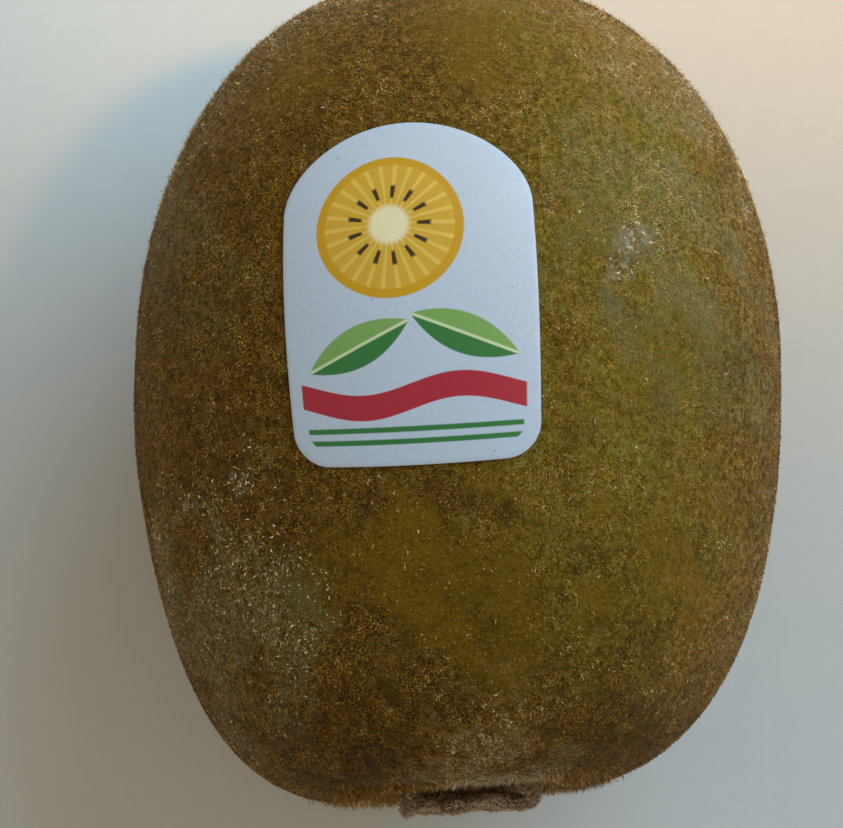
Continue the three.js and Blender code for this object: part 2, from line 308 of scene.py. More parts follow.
@dataclass(frozen=True)
class FruitForm:
    """The fruit's smooth form, the same as in the solids, by its own middle."""

    width: float = 53.5 * MM
    height: float = 50 * MM
    stem_length: float = 33.68 * MM
    blossom_length: float = 34.6 * MM
    stem_fullness: float = 3.24
    blossom_fullness: float = 2.24
    section_fullness: float = 2.1
    flat_depth: float = 0.4 * MM
    stem_lean_across: float = 0.078
    stem_lean_up: float = 0.28
    stem_lean_reach: float = 8 * MM
    stem_bend: float = 1.03 * MM
    blossom_bend: float = -0.24 * MM
    stem_dip: tuple[float, float] = (2 * MM, 8 * MM)
    blossom_dip: tuple[float, float] = (1.2 * MM, 4 * MM)
    rib_height: float = 0.14 * MM

    @property
    def middle_z(self) -> float:
        """How high the fruit's middle lies over the table."""
        return self.height / 2 - self.flat_depth

    def cross(self, x: np.ndarray, z: np.ndarray) -> np.ndarray:
        """1 on the outline of the fullest section, less inside."""
        m = self.section_fullness
        return (np.abs(x / (self.width / 2)) ** m + np.abs(z / (self.height / 2)) ** m) ** (1 / m)

    def stem_lean(self, x: np.ndarray, z: np.ndarray) -> np.ndarray:
        """How far the stem end's face stands back along Y."""
        reach = self.stem_lean_reach
        return self.stem_lean_across * x + self.stem_lean_up * reach * np.tanh(z / reach)

    def skin(self, d: np.ndarray) -> np.ndarray:
        """The skin's points in unit directions d."""
        stemward = np.clip((-d[:, 1] - 0.2) / 0.8, 0, 1) ** 2
        n = self.blossom_fullness + (self.stem_fullness - self.blossom_fullness) * stemward
        length = np.where(d[:, 1] < 0, self.stem_length, self.blossom_length)
        reach = (self.cross(d[:, 0], d[:, 2]) ** n + np.abs(d[:, 1] / length) ** n) ** (-1 / n)
        p = d * reach[:, None]
        x, y, z = p.T
        axial = np.abs(y) / length
        stem = y < 0
        turn = np.arctan2(z, x)
        out = np.maximum(np.hypot(x, z), 1e-9)
        ribs = np.cos(5 * turn + 0.7) + 0.6 * np.cos(3 * turn - 1.1 + 1.4 * y / self.blossom_length)
        rib = self.rib_height * ribs * (1 - smooth(axial, 0.55, 0.97))
        x, z = x * (1 + rib / out), z * (1 + rib / out)
        end = smooth(axial, 0.3, 1)
        depth = np.where(stem, self.stem_dip[0], self.blossom_dip[0])
        radius = np.where(stem, self.stem_dip[1], self.blossom_dip[1])
        hollow = depth * np.exp(-((out / radius) ** 2))
        y = y + np.where(stem, self.stem_lean(x, z) + hollow, -hollow) * end
        x = x + np.where(stem, self.stem_bend, self.blossom_bend) * axial**2
        return np.stack([x, y, z], axis=1)

    def normals(self, d: np.ndarray) -> np.ndarray:
        """The skin's outward normals in unit directions d."""
        side = np.where(np.abs(d[:, 1:2]) < 0.9, [[0.0, 1.0, 0.0]], [[1.0, 0.0, 0.0]])
        a = unit(np.cross(d, side))
        b = unit(np.cross(d, a))
        step = 0.01
        along_a = self.skin(unit(d + step * a)) - self.skin(unit(d - step * a))
        along_b = self.skin(unit(d + step * b)) - self.skin(unit(d - step * b))
        n = unit(np.cross(along_a, along_b))
        return n * np.sign(np.sum(n * d, axis=1, keepdims=True))

    def end_height(self, x: np.ndarray, z: np.ndarray, end: End) -> np.ndarray:
        """The end surface's place along Y beside the end's own middle."""
        stem = end is End.STEM
        n = self.stem_fullness if stem else self.blossom_fullness
        length = self.stem_length if stem else self.blossom_length
        depth, radius = self.stem_dip if stem else self.blossom_dip
        hollow = depth * np.exp(-((np.hypot(x, z) / radius) ** 2))
        y = length * (1 - self.cross(x, z) ** n) ** (1 / n) - hollow
        return -y + self.stem_lean(x, z) if stem else y

    def placed(self, points: np.ndarray) -> np.ndarray:
        """Points by the fruit's middle moved to their place over the table."""
        return points + [0, 0, self.middle_z]


@dataclass(frozen=True)
class SkinFinish:
    """Matt fruit skin under its fuzz: olive brown, with greener thin patches and small rusty dots.

    The close nap between the longer hairs is drawn here, coarser than it is, so that it shows.
    """

    olive: str = "#5e4400"
    green: str = "#867c28"
    thin: str = "#785c00"
    brown: str = "#4a2e02"
    dark: str = "#321e04"
    rust: str = "#6e3a12"
    # Tan, laid by the tan mark, is partly painted sheen and rim glow on the flanks and the far rim.
    tan: str = "#966a2c"
    # Grey, laid by the grey mark: mostly painted sheen, partly the grey-tan matted fuzz round the sepals.
    ash: str = "#6c6e42"
    nap: str = "#ae8a2c"
    pit: str = "#2a1a04"
    # The next two colours are painted light: the sheen of the fuzz seen edge-on along the flanks, then the
    # glow along the far rim.
    down: str = "#a88a62"
    far_down: str = "#d2b082"
    dust: str = "#98a09c"
    greenest: float = 0.7
    tuft_swing: float = 0.5
    sheen: float = 0.12
    sheen_roughness: float = 0.45
    sheen_tint: str = "#e0b070"
    blotch_mm: float = 9.0
    stem_edge_mm: float = 6.0
    brown_blotch_mm: float = 3.2
    lock_mm: float = 1.6
    fur_mm: float = 1.3
    swell_mm: float = 0.9
    film_mm: float = 0.7
    tuft_mm: float = 0.55
    grain_mm: float = 0.22
    fibre_mm: float = 0.14
    dots_per_mm: float = 0.62
    relief_mm: float = 0.12

    def _sunward(self, s: Sums, place: Socket) -> Socket:
        """How green the skin is: most on the right, less by the stem and far right flank; partly painted
        light.
        """
        x, y, _ = s.split(place)
        wandering = s.do("ADD", x, s.do("MULTIPLY", s.noise(place, self.blotch_mm, 3), 14.0))
        rightward_green = s.remap(wandering, 0.0, 20.0, 0.0, self.greenest)
        rightward_green = s.do("MULTIPLY", rightward_green, s.remap(y, -20.0, 0.0, 0.4, 1.0))
        return s.do("MULTIPLY", rightward_green, s.remap(x, 16.0, 24.0, 1.0, 0.2))

    def _ground(self, s: Sums, place: Socket, marks: dict[str, Socket], rightward_green: Socket) -> Socket:
        """The skin's own colour: olive to green, golden where it is bare, with brown blotches."""
        colour = s.mix(rightward_green, self.olive, self.green)
        thinned = s.do("MULTIPLY", marks["bare"], 0.8)
        greenness = s.do("MAXIMUM", rightward_green, thinned)
        colour = s.mix(thinned, colour, self.thin)
        brownness = s.remap(s.noise(place, self.brown_blotch_mm, 5, 0.65), 0.46, 0.68, 0, 0.85)
        calmer = s.do("SUBTRACT", 1.0, s.do("MULTIPLY", greenness, 0.55))
        return s.mix(s.do("MULTIPLY", brownness, calmer), colour, self.brown)

    def _regions(self, s: Sums, place: Socket, marks: dict[str, Socket], colour: Socket) -> Socket:
        """Lays on the wide regions: shaded, dark by the stem, tan, grey, painted flank sheen and far rim
        glow.
        """
        # Below 0 the shade mark darkens the skin, with painted shade in the stem end's hollow.
        colour = s.mix(s.remap(marks["shade"], 0.0, -0.3, 0, 0.8), colour, self.dark)
        _, y, _ = s.split(place)
        wandering = s.do("ADD", y, s.do("MULTIPLY", s.noise(place, self.stem_edge_mm, 4), 12.0))
        colour = s.mix(s.remap(wandering, -14.0, -27.0, 0.0, 0.9), colour, self.dark)
        locks = s.noise(place, self.lock_mm, 3)
        tanned = s.do("MULTIPLY", marks["tan"], s.remap(locks, 0.35, 0.6, 0.45, 0.9))
        colour = s.mix(tanned, colour, self.tan)
        # Grey: mostly painted sheen, partly the grey-tan matted fuzz.
        colour = s.mix(s.do("MULTIPLY", marks["grey"], 0.75), colour, self.ash)
        # Painted sheen of the fuzz seen edge-on along the flanks.
        edge_sheen = s.do("MULTIPLY", marks["down"], s.remap(locks, 0.35, 0.6, 0.3, 0.8))
        colour = s.mix(edge_sheen, colour, self.down)
        # Painted glow along the far rim.
        return s.mix(s.do("MULTIPLY", marks["halo"], 0.4), colour, self.far_down)

    def _dots(self, s: Sums, place: Socket, colour: Socket) -> Socket:
        """Lays on the small rusty dots, which come in patches."""
        cells = add_node(s.tree, "ShaderNodeTexVoronoi", {"Vector": place, "Scale": self.dots_per_mm})
        patchy = s.remap(s.noise(place, self.blotch_mm, 2), 0.48, 0.6)
        dots = s.do("MULTIPLY", s.remap(cells.outputs["Distance"], 0.2, 0.11), patchy)
        return s.mix(s.do("MULTIPLY", dots, 0.8), colour, self.rust)

    def _tufted(self, s: Sums, tufts: Socket, furry: Socket, rightward_green: Socket, colour: Socket) -> Socket:
        """Lightens and darkens the colour in tufts, less so on the green side."""
        swing = s.do("MULTIPLY", s.remap(tufts, 0.36, 0.64, -self.tuft_swing, self.tuft_swing), furry)
        swing = s.do("MULTIPLY", swing, s.remap(rightward_green, 0.0, self.greenest, 1.0, 0.55))
        inputs = {
            "Color": colour,
            "Value": s.do("ADD", 0.98, swing),
            "Saturation": s.do("SUBTRACT", 1.03, s.do("MULTIPLY", swing, 0.3)),
        }
        return add_node(s.tree, "ShaderNodeHueSaturation", inputs).outputs[0]

    def _napped(self, s: Sums, place: Socket, furry: Socket, colour: Socket) -> Socket:
        """Lays on the close nap: dark gaps and pale fibres."""
        nap = s.do("MULTIPLY", furry, s.remap(s.noise(place, self.fur_mm, 3), 0.4, 0.6, 0.35, 0.9))
        fibre = s.noise(place, self.fibre_mm, 2, 0.5)
        colour = s.mix(s.do("MULTIPLY", s.remap(fibre, 0.46, 0.34, 0, 0.6), nap), colour, self.pit)
        return s.mix(s.do("MULTIPLY", s.remap(fibre, 0.53, 0.66), nap), colour, self.nap)

    def material(self) -> bpy.types.Material:
        """Builds the skin's material, from its own colour up to the film of dust."""
        paint = Paint("fuzzy_fruit_skin")
        s = paint.sums
        place = paint.place_mm()
        marks = {}
        for name in ("bare", "shade", "grey", "tan", "down", "halo", "dust"):
            mark = add_node(s.tree, "ShaderNodeAttribute", attribute_name=name, attribute_type="GEOMETRY")
            # Output 2 is the attribute as one number.
            marks[name] = mark.outputs[2]
        rightward_green = self._sunward(s, place)
        colour = self._ground(s, place, marks, rightward_green)
        colour = self._regions(s, place, marks, colour)
        colour = self._dots(s, place, colour)
        grain = s.noise(place, self.grain_mm, 4, 0.7)
        colour = s.mix(s.remap(grain, 0.5, 0.68, 0, 0.65), colour, self.pit)
        furry = s.do("SUBTRACT", 1.0, s.do("MULTIPLY", marks["bare"], 0.9))
        tufts = s.noise(place, self.tuft_mm, 3, 0.6)
        colour = self._tufted(s, tufts, furry, rightward_green, colour)
        colour = self._napped(s, place, furry, colour)
        film = s.remap(s.noise(place, self.film_mm, 4, 0.7), 0.42, 0.66)
        film = s.do("MULTIPLY", film, s.do("MINIMUM", marks["dust"], 1.0))
        colour = s.mix(s.do("MULTIPLY", film, 0.8), colour, self.dust)
        paint.set(Base_Color=colour, Roughness=s.remap(grain, 0.3, 0.7, 0.55, 0.8), Specular_IOR_Level=0.15)
        paint.set(Sheen_Weight=self.sheen, Sheen_Roughness=self.sheen_roughness, Sheen_Tint=self.sheen_tint)
        swells = s.do("MULTIPLY", s.do("ADD", s.noise(place, self.swell_mm, 3), tufts), 1.5)
        paint.bump(s.do("ADD", grain, swells), self.relief_mm)
        return paint.material


@dataclass(frozen=True)
class FuzzFinish:
    """Hair coloured by its UV map alone: across the map its tone, up it three bands, each root to tip.

    The first band has the tones as they are, the second is rusty and the third greyed, partly as painted
    sheen.
    """

    name: str
    tones: tuple[tuple[float, str], ...]
    rust: str = "#7c4416"
    grey: str = "#9a8a70"
    root: str = "#2a1a06"
    rusty_share: float = 0.7
    grey_share: float = 0.55
    root_shade: float = 0.3
    roughness: float = 0.7

    def material(self) -> bpy.types.Material:
        """Builds the hair's material."""
        paint = Paint(self.name)
        s = paint.sums
        tree = s.tree
        tone, up, _ = s.split(add_node(tree, "ShaderNodeUVMap", uv_map="OFBake").outputs[0])
        tripled = s.do("MULTIPLY", up, 3.0)
        rusty = s.do("COMPARE", tripled, 1.5, 0.5)
        greyed = s.do("GREATER_THAN", tripled, 2.0)
        along = s.do("FRACT", tripled)
        ramp = add_node(tree, "ShaderNodeValToRGB", {0: tone})
        elements = ramp.color_ramp.elements
        while len(elements) < len(self.tones):
            elements.new(0.5)
        for element, (at, code) in zip(elements, self.tones):
            element.position = at
            element.color = linear(code)
        colour = s.mix(s.do("MULTIPLY", rusty, self.rusty_share), ramp.outputs[0], self.rust)
        colour = s.mix(s.do("MULTIPLY", greyed, self.grey_share), colour, self.grey)
        colour = s.mix(s.remap(along, 0.5, 0.0, 0.0, self.root_shade), colour, self.root)
        paint.set(Base_Color=colour, Roughness=self.roughness, Specular_IOR_Level=0.15)
        return paint.material


SKIN_FUZZ = FuzzFinish(
    "skin_fuzz",
    (
        (0.0, "#442e05"),
        (0.25, "#704a00"),
        (0.5, "#98680c"),
        (0.72, "#b48a38"),
        (0.9, "#dcb87a"),
        (1.0, "#fff2d0"),
    ),
)
SEPAL_FUZZ = FuzzFinish(
    "sepal_fuzz",
    (
        (0.0, "#8a6c4c"),
        (0.4, "#bc9f7c"),
        (0.75, "#dcc8a8"),
        (1.0, "#f6ead2"),
    ),
)


@dataclass(frozen=True)
class DriedFinish:
    """Dried plant tissue, shrunk and split along its fibres: dark, rough and streaked."""

    name: str
    dark: str
    light: str
    streak_mm: float
    roughness: float = 0.85
    relief_mm: float = 0.15

    def material(self) -> bpy.types.Material:
        """Builds the tissue's material."""
        paint = Paint(self.name)
        s = paint.sums
        streaks = s.noise(paint.place_mm(), self.streak_mm, 5, 0.7)
        colour = s.mix(s.remap(streaks, 0.4, 0.68), self.dark, self.light)
        paint.set(Base_Color=colour, Roughness=self.roughness, Specular_IOR_Level=0.25)
        paint.bump(streaks, self.relief_mm)
        return paint.material


SEPAL = DriedFinish("dried_sepal", "#4a301c", "#98785a", 0.7)
STYLE = DriedFinish("dried_style", "#160f0a", "#3c2a1c", 0.5)


@dataclass(frozen=True)
class Leaf:
    """One printed leaf's middle on the paper and the way that it points."""

    x_mm: float
    y_mm: float
    degrees: float


@dataclass(frozen=True)
class PaperFinish:
    """Coated label paper, offset printed: a smooth, faintly glossy white with crisp flat colours.

    It shows a round fruit slice over a pair of leaves, with a red wave and green rules below.
    """

    paper: str = "#c2d2e6"
    shaded_paper: str = "#b2c0cc"
    gold: str = "#cc9c0a"
    pale_gold: str = "#e6c860"
    core: str = "#ece4b8"
    seed: str = "#3c2c10"
    green: str = "#2f7a3c"
    light_green: str = "#7cab5c"
    midrib: str = "#cfe0b4"
    red: str = "#b02438"
    speck: str = "#5a4830"
    slice_x_mm: float = -1.2
    slice_y_mm: float = 4.6
    slice_radius_mm: float = 5.6
    rays: float = 26.0
    leaves: tuple[Leaf, ...] = (Leaf(-3.9, -4.4, 24), Leaf(4.1, -3.8, -22))
    leaf_half_length_mm: float = 4.3
    leaf_half_width_mm: float = 1.5
    wave_y_mm: float = -8.2
    wave_swell_mm: float = 0.75
    wave_half_width_mm: float = 0.95
    rules_y_mm: tuple[float, ...] = (-10.6, -11.5)
    rule_half_width_mm: float = 0.2
    fibre_mm: float = 0.5

    @staticmethod
    def _inside(s: Sums, distance: Socket, edge: float = 0.06) -> Socket:
        """1 where a signed distance in millimetres is below 0."""
        return s.remap(distance, edge, -edge)

    def _slice(self, s: Sums, colour: Socket, x: Socket, y: Socket) -> Socket:
        """Lays the round fruit slice, with its pale core, rays and seeds."""
        radius = self.slice_radius_mm
        dx, dy = s.do("SUBTRACT", x, self.slice_x_mm), s.do("SUBTRACT", y, self.slice_y_mm)
        away = s.do("SQRT", s.do("ADD", s.do("MULTIPLY", dx, dx), s.do("MULTIPLY", dy, dy)))
        turn = s.do("ARCTAN2", dy, dx)
        colour = s.mix(self._inside(s, s.do("SUBTRACT", away, radius)), colour, self.gold)
        flesh = self._inside(s, s.do("SUBTRACT", away, radius * 0.88))
        rays = s.remap(s.do("COSINE", s.do("MULTIPLY", turn, self.rays)), 0.2, 0.95, 0.25, 0.8)
        colour = s.mix(s.do("MULTIPLY", flesh, rays), colour, self.pale_gold)
        colour = s.mix(self._inside(s, s.do("SUBTRACT", away, radius * 0.27), 0.3), colour, self.core)
        seed_turn = s.do("COSINE", s.do("MULTIPLY", turn, self.rays / 2))
        band = s.do("ABSOLUTE", s.do("SUBTRACT", away, radius * 0.47))
        seeds = s.do("MULTIPLY", s.remap(seed_turn, 0.55, 0.85), s.remap(band, radius * 0.12, radius * 0.07))
        return s.mix(seeds, colour, self.seed)

    def _leaf(self, s: Sums, colour: Socket, x: Socket, y: Socket, leaf: Leaf) -> Socket:
        """Lays one pointed leaf with a pale midrib."""
        c, k = math.cos(math.radians(leaf.degrees)), math.sin(math.radians(leaf.degrees))
        dx, dy = s.do("SUBTRACT", x, leaf.x_mm), s.do("SUBTRACT", y, leaf.y_mm)
        along = s.do("ADD", s.do("MULTIPLY", dx, c), s.do("MULTIPLY", dy, k))
        across = s.do("SUBTRACT", s.do("MULTIPLY", dy, c), s.do("MULTIPLY", dx, k))
        taper = s.do("SUBTRACT", 1.0, s.do("POWER", s.do("DIVIDE", along, self.leaf_half_length_mm), 2.0))
        off_rib = s.do("ABSOLUTE", across)
        inside = self._inside(s, s.do("SUBTRACT", off_rib, s.do("MULTIPLY", taper, self.leaf_half_width_mm)))
        half = s.remap(across, -0.1, 0.1)
        colour = s.mix(inside, colour, s.mix(half, self.green, self.light_green))
        return s.mix(s.do("MULTIPLY", inside, s.remap(off_rib, 0.16, 0.06)), colour, self.midrib)

    def _band(self, s: Sums, y: Socket, middle: float, half_width: float) -> Socket:
        """1 in a band across the paper."""
        return self._inside(s, s.do("SUBTRACT", s.do("ABSOLUTE", s.do("SUBTRACT", y, middle)), half_width))

    def _bands(self, s: Sums, colour: Socket, x: Socket, y: Socket, edge: Socket) -> Socket:
        """Lays the red wave and the green rules, which stop short of the paper's edge."""
        swell = s.do("MULTIPLY", s.do("SINE", s.do("MULTIPLY", x, 0.42)), self.wave_swell_mm)
        wave = self._band(s, s.do("SUBTRACT", y, swell), self.wave_y_mm, self.wave_half_width_mm)
        colour = s.mix(s.do("MULTIPLY", wave, s.remap(edge, 0.95, 1.1)), colour, self.red)
        for rule_y in self.rules_y_mm:
            rule = self._band(s, y, rule_y, self.rule_half_width_mm)
            colour = s.mix(s.do("MULTIPLY", rule, s.remap(edge, 1.2, 1.35)), colour, self.green)
        return colour

    def material(self) -> bpy.types.Material:
        """Builds the paper's material; its attribute holds x, y and the distance to the edge in mm."""
        paint = Paint("printed_label_paper")
        s = paint.sums
        mark = add_node(s.tree, "ShaderNodeAttribute", attribute_name="paper_mm", attribute_type="GEOMETRY")
        # Output 1 is the attribute as a vector.
        flat = mark.outputs[1]
        x, y, edge = s.split(flat)
        fibres = s.noise(flat, self.fibre_mm, 4, 0.7)
        colour = s.mix(s.remap(fibres, 0.35, 0.7, 0, 0.35), self.paper, self.shaded_paper)
        colour = self._slice(s, colour, x, y)
        for leaf in self.leaves:
            colour = self._leaf(s, colour, x, y, leaf)
        colour = self._bands(s, colour, x, y, edge)
        specks = s.remap(s.noise(flat, 0.28, 2), 0.7, 0.74)
        specks = s.do("MULTIPLY", specks, s.remap(s.noise(flat, 5, 2), 0.5, 0.62))
        colour = s.mix(s.do("MULTIPLY", specks, 0.75), colour, self.speck)
        paint.set(Base_Color=colour, Roughness=s.remap(fibres, 0.3, 0.7, 0.32, 0.45))
        paint.bump(fibres, 0.01)
        return paint.material


@dataclass(frozen=True)
class Hair:
    """One kind of hair: hairs a square metre, sizes, how it leans and clumps, and its range of tones.

    Real hairs are thinner. They are drawn as wide as they need to be to show in the render.
    """

    name: str
    cover: str
    seed: int
    density: float
    length: float
    width: float
    lift: float
    stray: float
    clump_size: float
    clump_contrast: float
    tone_low: float
    tone_high: float

    def inputs(self) -> dict[str, Value]:
        """The tree's inputs by their names."""
        return {key.replace("_", " ").title(): value for key, value in vars(self).items() if key != "name"}


@dataclass
class FuzzTree:
    """The geometry nodes that grow hair on a mesh: curled two-faced blades, combed along a wandering flow."""

    name: str
    tree: bpy.types.NodeTree = field(init=False)
    flow_size: float = 7 * MM
    coarse_size: float = 4 * MM
    knot_size: float = 1.1 * MM
    fine_size: float = 0.55 * MM
    rusty_least: float = 0.06
    rusty_knots: float = 0.7
    curls: tuple[float, ...] = (-0.4, 0.4)

    def __post_init__(self) -> None:
        """Builds the tree with its named inputs."""
        self.tree = bpy.data.node_groups.new(self.name, "GeometryNodeTree")
        sockets = self.tree.interface
        sockets.new_socket("Geometry", in_out="INPUT", socket_type="NodeSocketGeometry")
        for name, kind, value in (
            ("Cover", "NodeSocketString", "fuzz"),
            ("Density", "NodeSocketFloat", 1e7),
            ("Seed", "NodeSocketInt", 1),
            ("Length", "NodeSocketFloat", 0.6 * MM),
            ("Width", "NodeSocketFloat", 0.07 * MM),
            ("Lift", "NodeSocketFloat", 0.35),
            ("Stray", "NodeSocketFloat", 0.7),
            ("Clump Size", "NodeSocketFloat", 2 * MM),
            ("Clump Contrast", "NodeSocketFloat", 0.5),
            ("Tone Low", "NodeSocketFloat", 0.1),
            ("Tone High", "NodeSocketFloat", 0.7),
            ("Material", "NodeSocketMaterial", None),
        ):
            socket = sockets.new_socket(name, in_out="INPUT", socket_type=kind)
            if value is not None:
                socket.default_value = value
        sockets.new_socket("Geometry", in_out="OUTPUT", socket_type="NodeSocketGeometry")
        self._build()

    def _random(self, low: Value, high: Value, seed: int) -> Socket:
        """A random number for each hair."""
        # The node's inputs 2 and 3 and its output 1 are the ones for plain numbers.
        inputs = {2: low, 3: high, "Seed": seed}
        return add_node(self.tree, "FunctionNodeRandomValue", inputs, data_type="FLOAT").outputs[1]

    def _stored(self, shape: Socket, values: dict[str, Socket]) -> Socket:
        """A geometry with each value stored under its name."""
        for name, value in values.items():
            inputs = {"Geometry": shape, "Name": name, "Value": value}
            store = add_node(self.tree, "GeometryNodeStoreNamedAttribute", inputs, data_type="FLOAT")
            shape = store.outputs[0]
        return shape

    def _blade(self, s: Sums, curl: float) -> Socket:
        """One blade along X with its root at 0 and its tip at 1, which rises and curls to one side."""
        tree = self.tree
        ring = add_node(tree, "GeometryNodeMeshCircle", {"Vertices": 4, "Radius": 1.0}, fill_type="NGON")
        x, y, _ = s.split(add_node(tree, "GeometryNodeInputPosition").outputs[0])
        along = s.do("MULTIPLY", s.do("ADD", x, 1.0), 0.5)
        droop = s.do("MULTIPLY", s.do("MULTIPLY", along, along), 0.42)
        rise = s.do("SUBTRACT", s.do("MULTIPLY", along, 0.62), droop)
        # The root starts a little under the skin.
        height = s.do("SUBTRACT", rise, 0.04)
        bow = s.do("MULTIPLY", s.do("MULTIPLY", along, s.do("SUBTRACT", 1.0, along)), 4 * curl)
        aside = s.do("ADD", s.do("MULTIPLY", y, 0.2), bow)
        where = add_node(tree, "ShaderNodeCombineXYZ", {0: along, 1: aside, 2: height})
        marked = self._stored(ring.outputs[0], {"along": along, "side": y})
        bent = add_node(tree, "GeometryNodeSetPosition", {"Geometry": marked, "Position": where.outputs[0]})
        fold = {"Mesh": bent.outputs[0]}
        return add_node(tree, "GeometryNodeTriangulate", fold, quad_method="SHORTEST_DIAGONAL").outputs[0]

    def _roots(self, s: Sums, given: Any, clump: Socket, cover: Socket) -> bpy.types.Node:
        """The hairs' roots, closer together in clumps and where the cover is dense."""
        thin = s.do("SUBTRACT", 1.0, given["Clump Contrast"])
        share = s.do("ADD", thin, s.do("MULTIPLY", clump, given["Clump Contrast"]))
        density = s.do("MULTIPLY", s.do("MULTIPLY", given["Density"], share), cover)
        inputs = {"Mesh": given["Geometry"], "Density": density, "Seed": given["Seed"]}
        return add_node(s.tree, "GeometryNodeDistributePointsOnFaces", inputs, distribute_method="RANDOM")

    def _rotation(self, s: Sums, given: Any, place: Socket, normal: Socket) -> Socket:
        """How each hair is turned: up from the skin, combed along the flow, then strayed and raised."""
        tree = s.tree
        inputs = {"Vector": place, "Scale": 1 / self.flow_size, "Detail": 2.0}
        flow = add_node(tree, "ShaderNodeTexNoise", inputs)
        _, y, _ = s.split(place)
        # The flow leans towards the stem end, and to the right close to it.
        mean_x = s.remap(y, -24 * MM, -32 * MM, 0.5, 0.1)
        mean = add_node(tree, "ShaderNodeCombineXYZ", {0: mean_x, 1: 0.6, 2: 0.5})
        ends = {0: flow.outputs[1], 1: mean.outputs[0]}
        wander = add_node(tree, "ShaderNodeVectorMath", ends, operation="SUBTRACT")
        align = "FunctionNodeAlignRotationToVector"
        upright = add_node(tree, align, {"Vector": normal}, axis="Z", pivot_axis="AUTO")
        inputs = {"Rotation": upright.outputs[0], "Vector": wander.outputs[0]}
        combed = add_node(tree, align, inputs, axis="X", pivot_axis="Z")
        stray = self._random(-1.0, 1.0, 3)
        wilder = s.do("ABSOLUTE", s.do("MULTIPLY", stray, 2.2))
        yaw = s.do("MULTIPLY", s.do("MULTIPLY", stray, given["Stray"]), wilder)
        lift = s.do("MULTIPLY", given["Lift"], self._random(-1.6, 0.25, 5))
        turns = add_node(tree, "ShaderNodeCombineXYZ", {0: self._random(-0.45, 0.45, 4), 1: lift, 2: yaw})
        by = add_node(tree, "FunctionNodeEulerToRotation", {0: turns.outputs[0]})
        inputs = {"Rotation": combed.outputs[0], "Rotate By": by.outputs[0]}
        return add_node(tree, "FunctionNodeRotateRotation", inputs, rotation_space="LOCAL").outputs[0]

    def _size(self, s: Sums, given: Any) -> Socket:
        """Each hair's length, width and height."""
        length = s.do("MULTIPLY", given["Length"], self._random(0.45, 1.35, 6))
        # A blade is 0.4 wide before it is scaled.
        width = s.do("MULTIPLY", s.do("MULTIPLY", given["Width"], 2.5), self._random(0.6, 1.4, 7))
        inputs = {0: length, 1: width, 2: s.do("MULTIPLY", length, 0.8)}
        return add_node(s.tree, "ShaderNodeCombineXYZ", inputs).outputs[0]

    def _tone(self, s: Sums, given: Any, place: Socket, clump: Socket, shade: Socket) -> Socket:
        """Each hair's tone: its own, with that of its region and its clump."""
        coarse = s.do("MULTIPLY", s.do("SUBTRACT", s.noise(place, self.coarse_size, 2), 0.5), 0.4)
        fine = s.do("SUBTRACT", s.noise(place, self.fine_size, 2), 0.5)
        # The shade mark brings painted sheen and rim glow with it, as well as real changes of tone.
        region = s.do("ADD", s.do("ADD", coarse, fine), shade)
        lighter = s.do("MULTIPLY", s.do("SUBTRACT", clump, 0.6), 0.22)
        own = self._random(given["Tone Low"], given["Tone High"], 8)
        return s.do("ADD", own, s.do("ADD", region, lighter))

    def _band(self, s: Sums, place: Socket, grey: Socket) -> Socket:
        """Each hair's colour band: 0 plain, 1 rusty and 2 greyed."""
        knots = s.remap(s.noise(place, self.knot_size, 2), 0.58, 0.66)
        chance = s.do("ADD", s.do("MULTIPLY", knots, self.rusty_knots), self.rusty_least)
        rusty = s.do("LESS_THAN", self._random(0.0, 1.0, 9), chance)
        greyed = s.do("LESS_THAN", self._random(0.0, 1.0, 10), grey)
        return s.do("MAXIMUM", rusty, s.do("MULTIPLY", greyed, 2.0))

    def _map_place(self, s: Sums, read: dict[str, Socket]) -> Socket:
        """Each corner's place on the UV map: the tone across, the band and the way along the hair up."""
        across = s.do("MAXIMUM", s.do("MINIMUM", read["tone"], 0.99), 0.01)
        across = s.do("ADD", across, s.do("MULTIPLY", read["side"], 0.004))
        inside = s.do("ADD", s.do("MULTIPLY", read["along"], 0.96), 0.02)
        up = s.do("DIVIDE", s.do("ADD", inside, read["band"]), 3.0)
        return add_node(s.tree, "ShaderNodeCombineXYZ", {0: across, 1: up}).outputs[0]

    def _build(self) -> None:
        """Links the whole tree."""
        tree = self.tree
        s = Sums(tree)
        given = add_node(tree, "NodeGroupInput").outputs
        names = {name: name for name in ("shade", "grey", "tone", "band", "along", "side")}
        names["cover"] = given["Cover"]
        read = {}
        for key, name in names.items():
            attribute = add_node(tree, "GeometryNodeInputNamedAttribute", {"Name": name}, data_type="FLOAT")
            read[key] = attribute.outputs[0]
        place = add_node(tree, "GeometryNodeInputPosition").outputs[0]
        inputs = {"Vector": place, "Scale": s.do("DIVIDE", 1.0, given["Clump Size"]), "Detail": 3.0}
        clump = s.remap(add_node(tree, "ShaderNodeTexNoise", inputs).outputs[0], 0.43, 0.58)
        roots = self._roots(s, given, clump, read["cover"])
        tone = self._tone(s, given, place, clump, read["shade"])
        marked = self._stored(roots.outputs[0], {"tone": tone, "band": self._band(s, place, read["grey"])})
        blades = add_node(tree, "GeometryNodeGeometryToInstance")
        for curl in self.curls:
            tree.links.new(self._blade(s, curl), blades.inputs[0])
        inputs = {
            "Points": marked,
            "Instance": blades.outputs[0],
            "Pick Instance": True,
            "Rotation": self._rotation(s, given, place, roots.outputs["Normal"]),
            "Scale": self._size(s, given),
        }
        hairs = add_node(tree, "GeometryNodeInstanceOnPoints", inputs)
        real = add_node(tree, "GeometryNodeRealizeInstances", {0: hairs.outputs[0]})
        inputs = {"Geometry": real.outputs[0], "Name": "OFBake", "Value": self._map_place(s, read)}
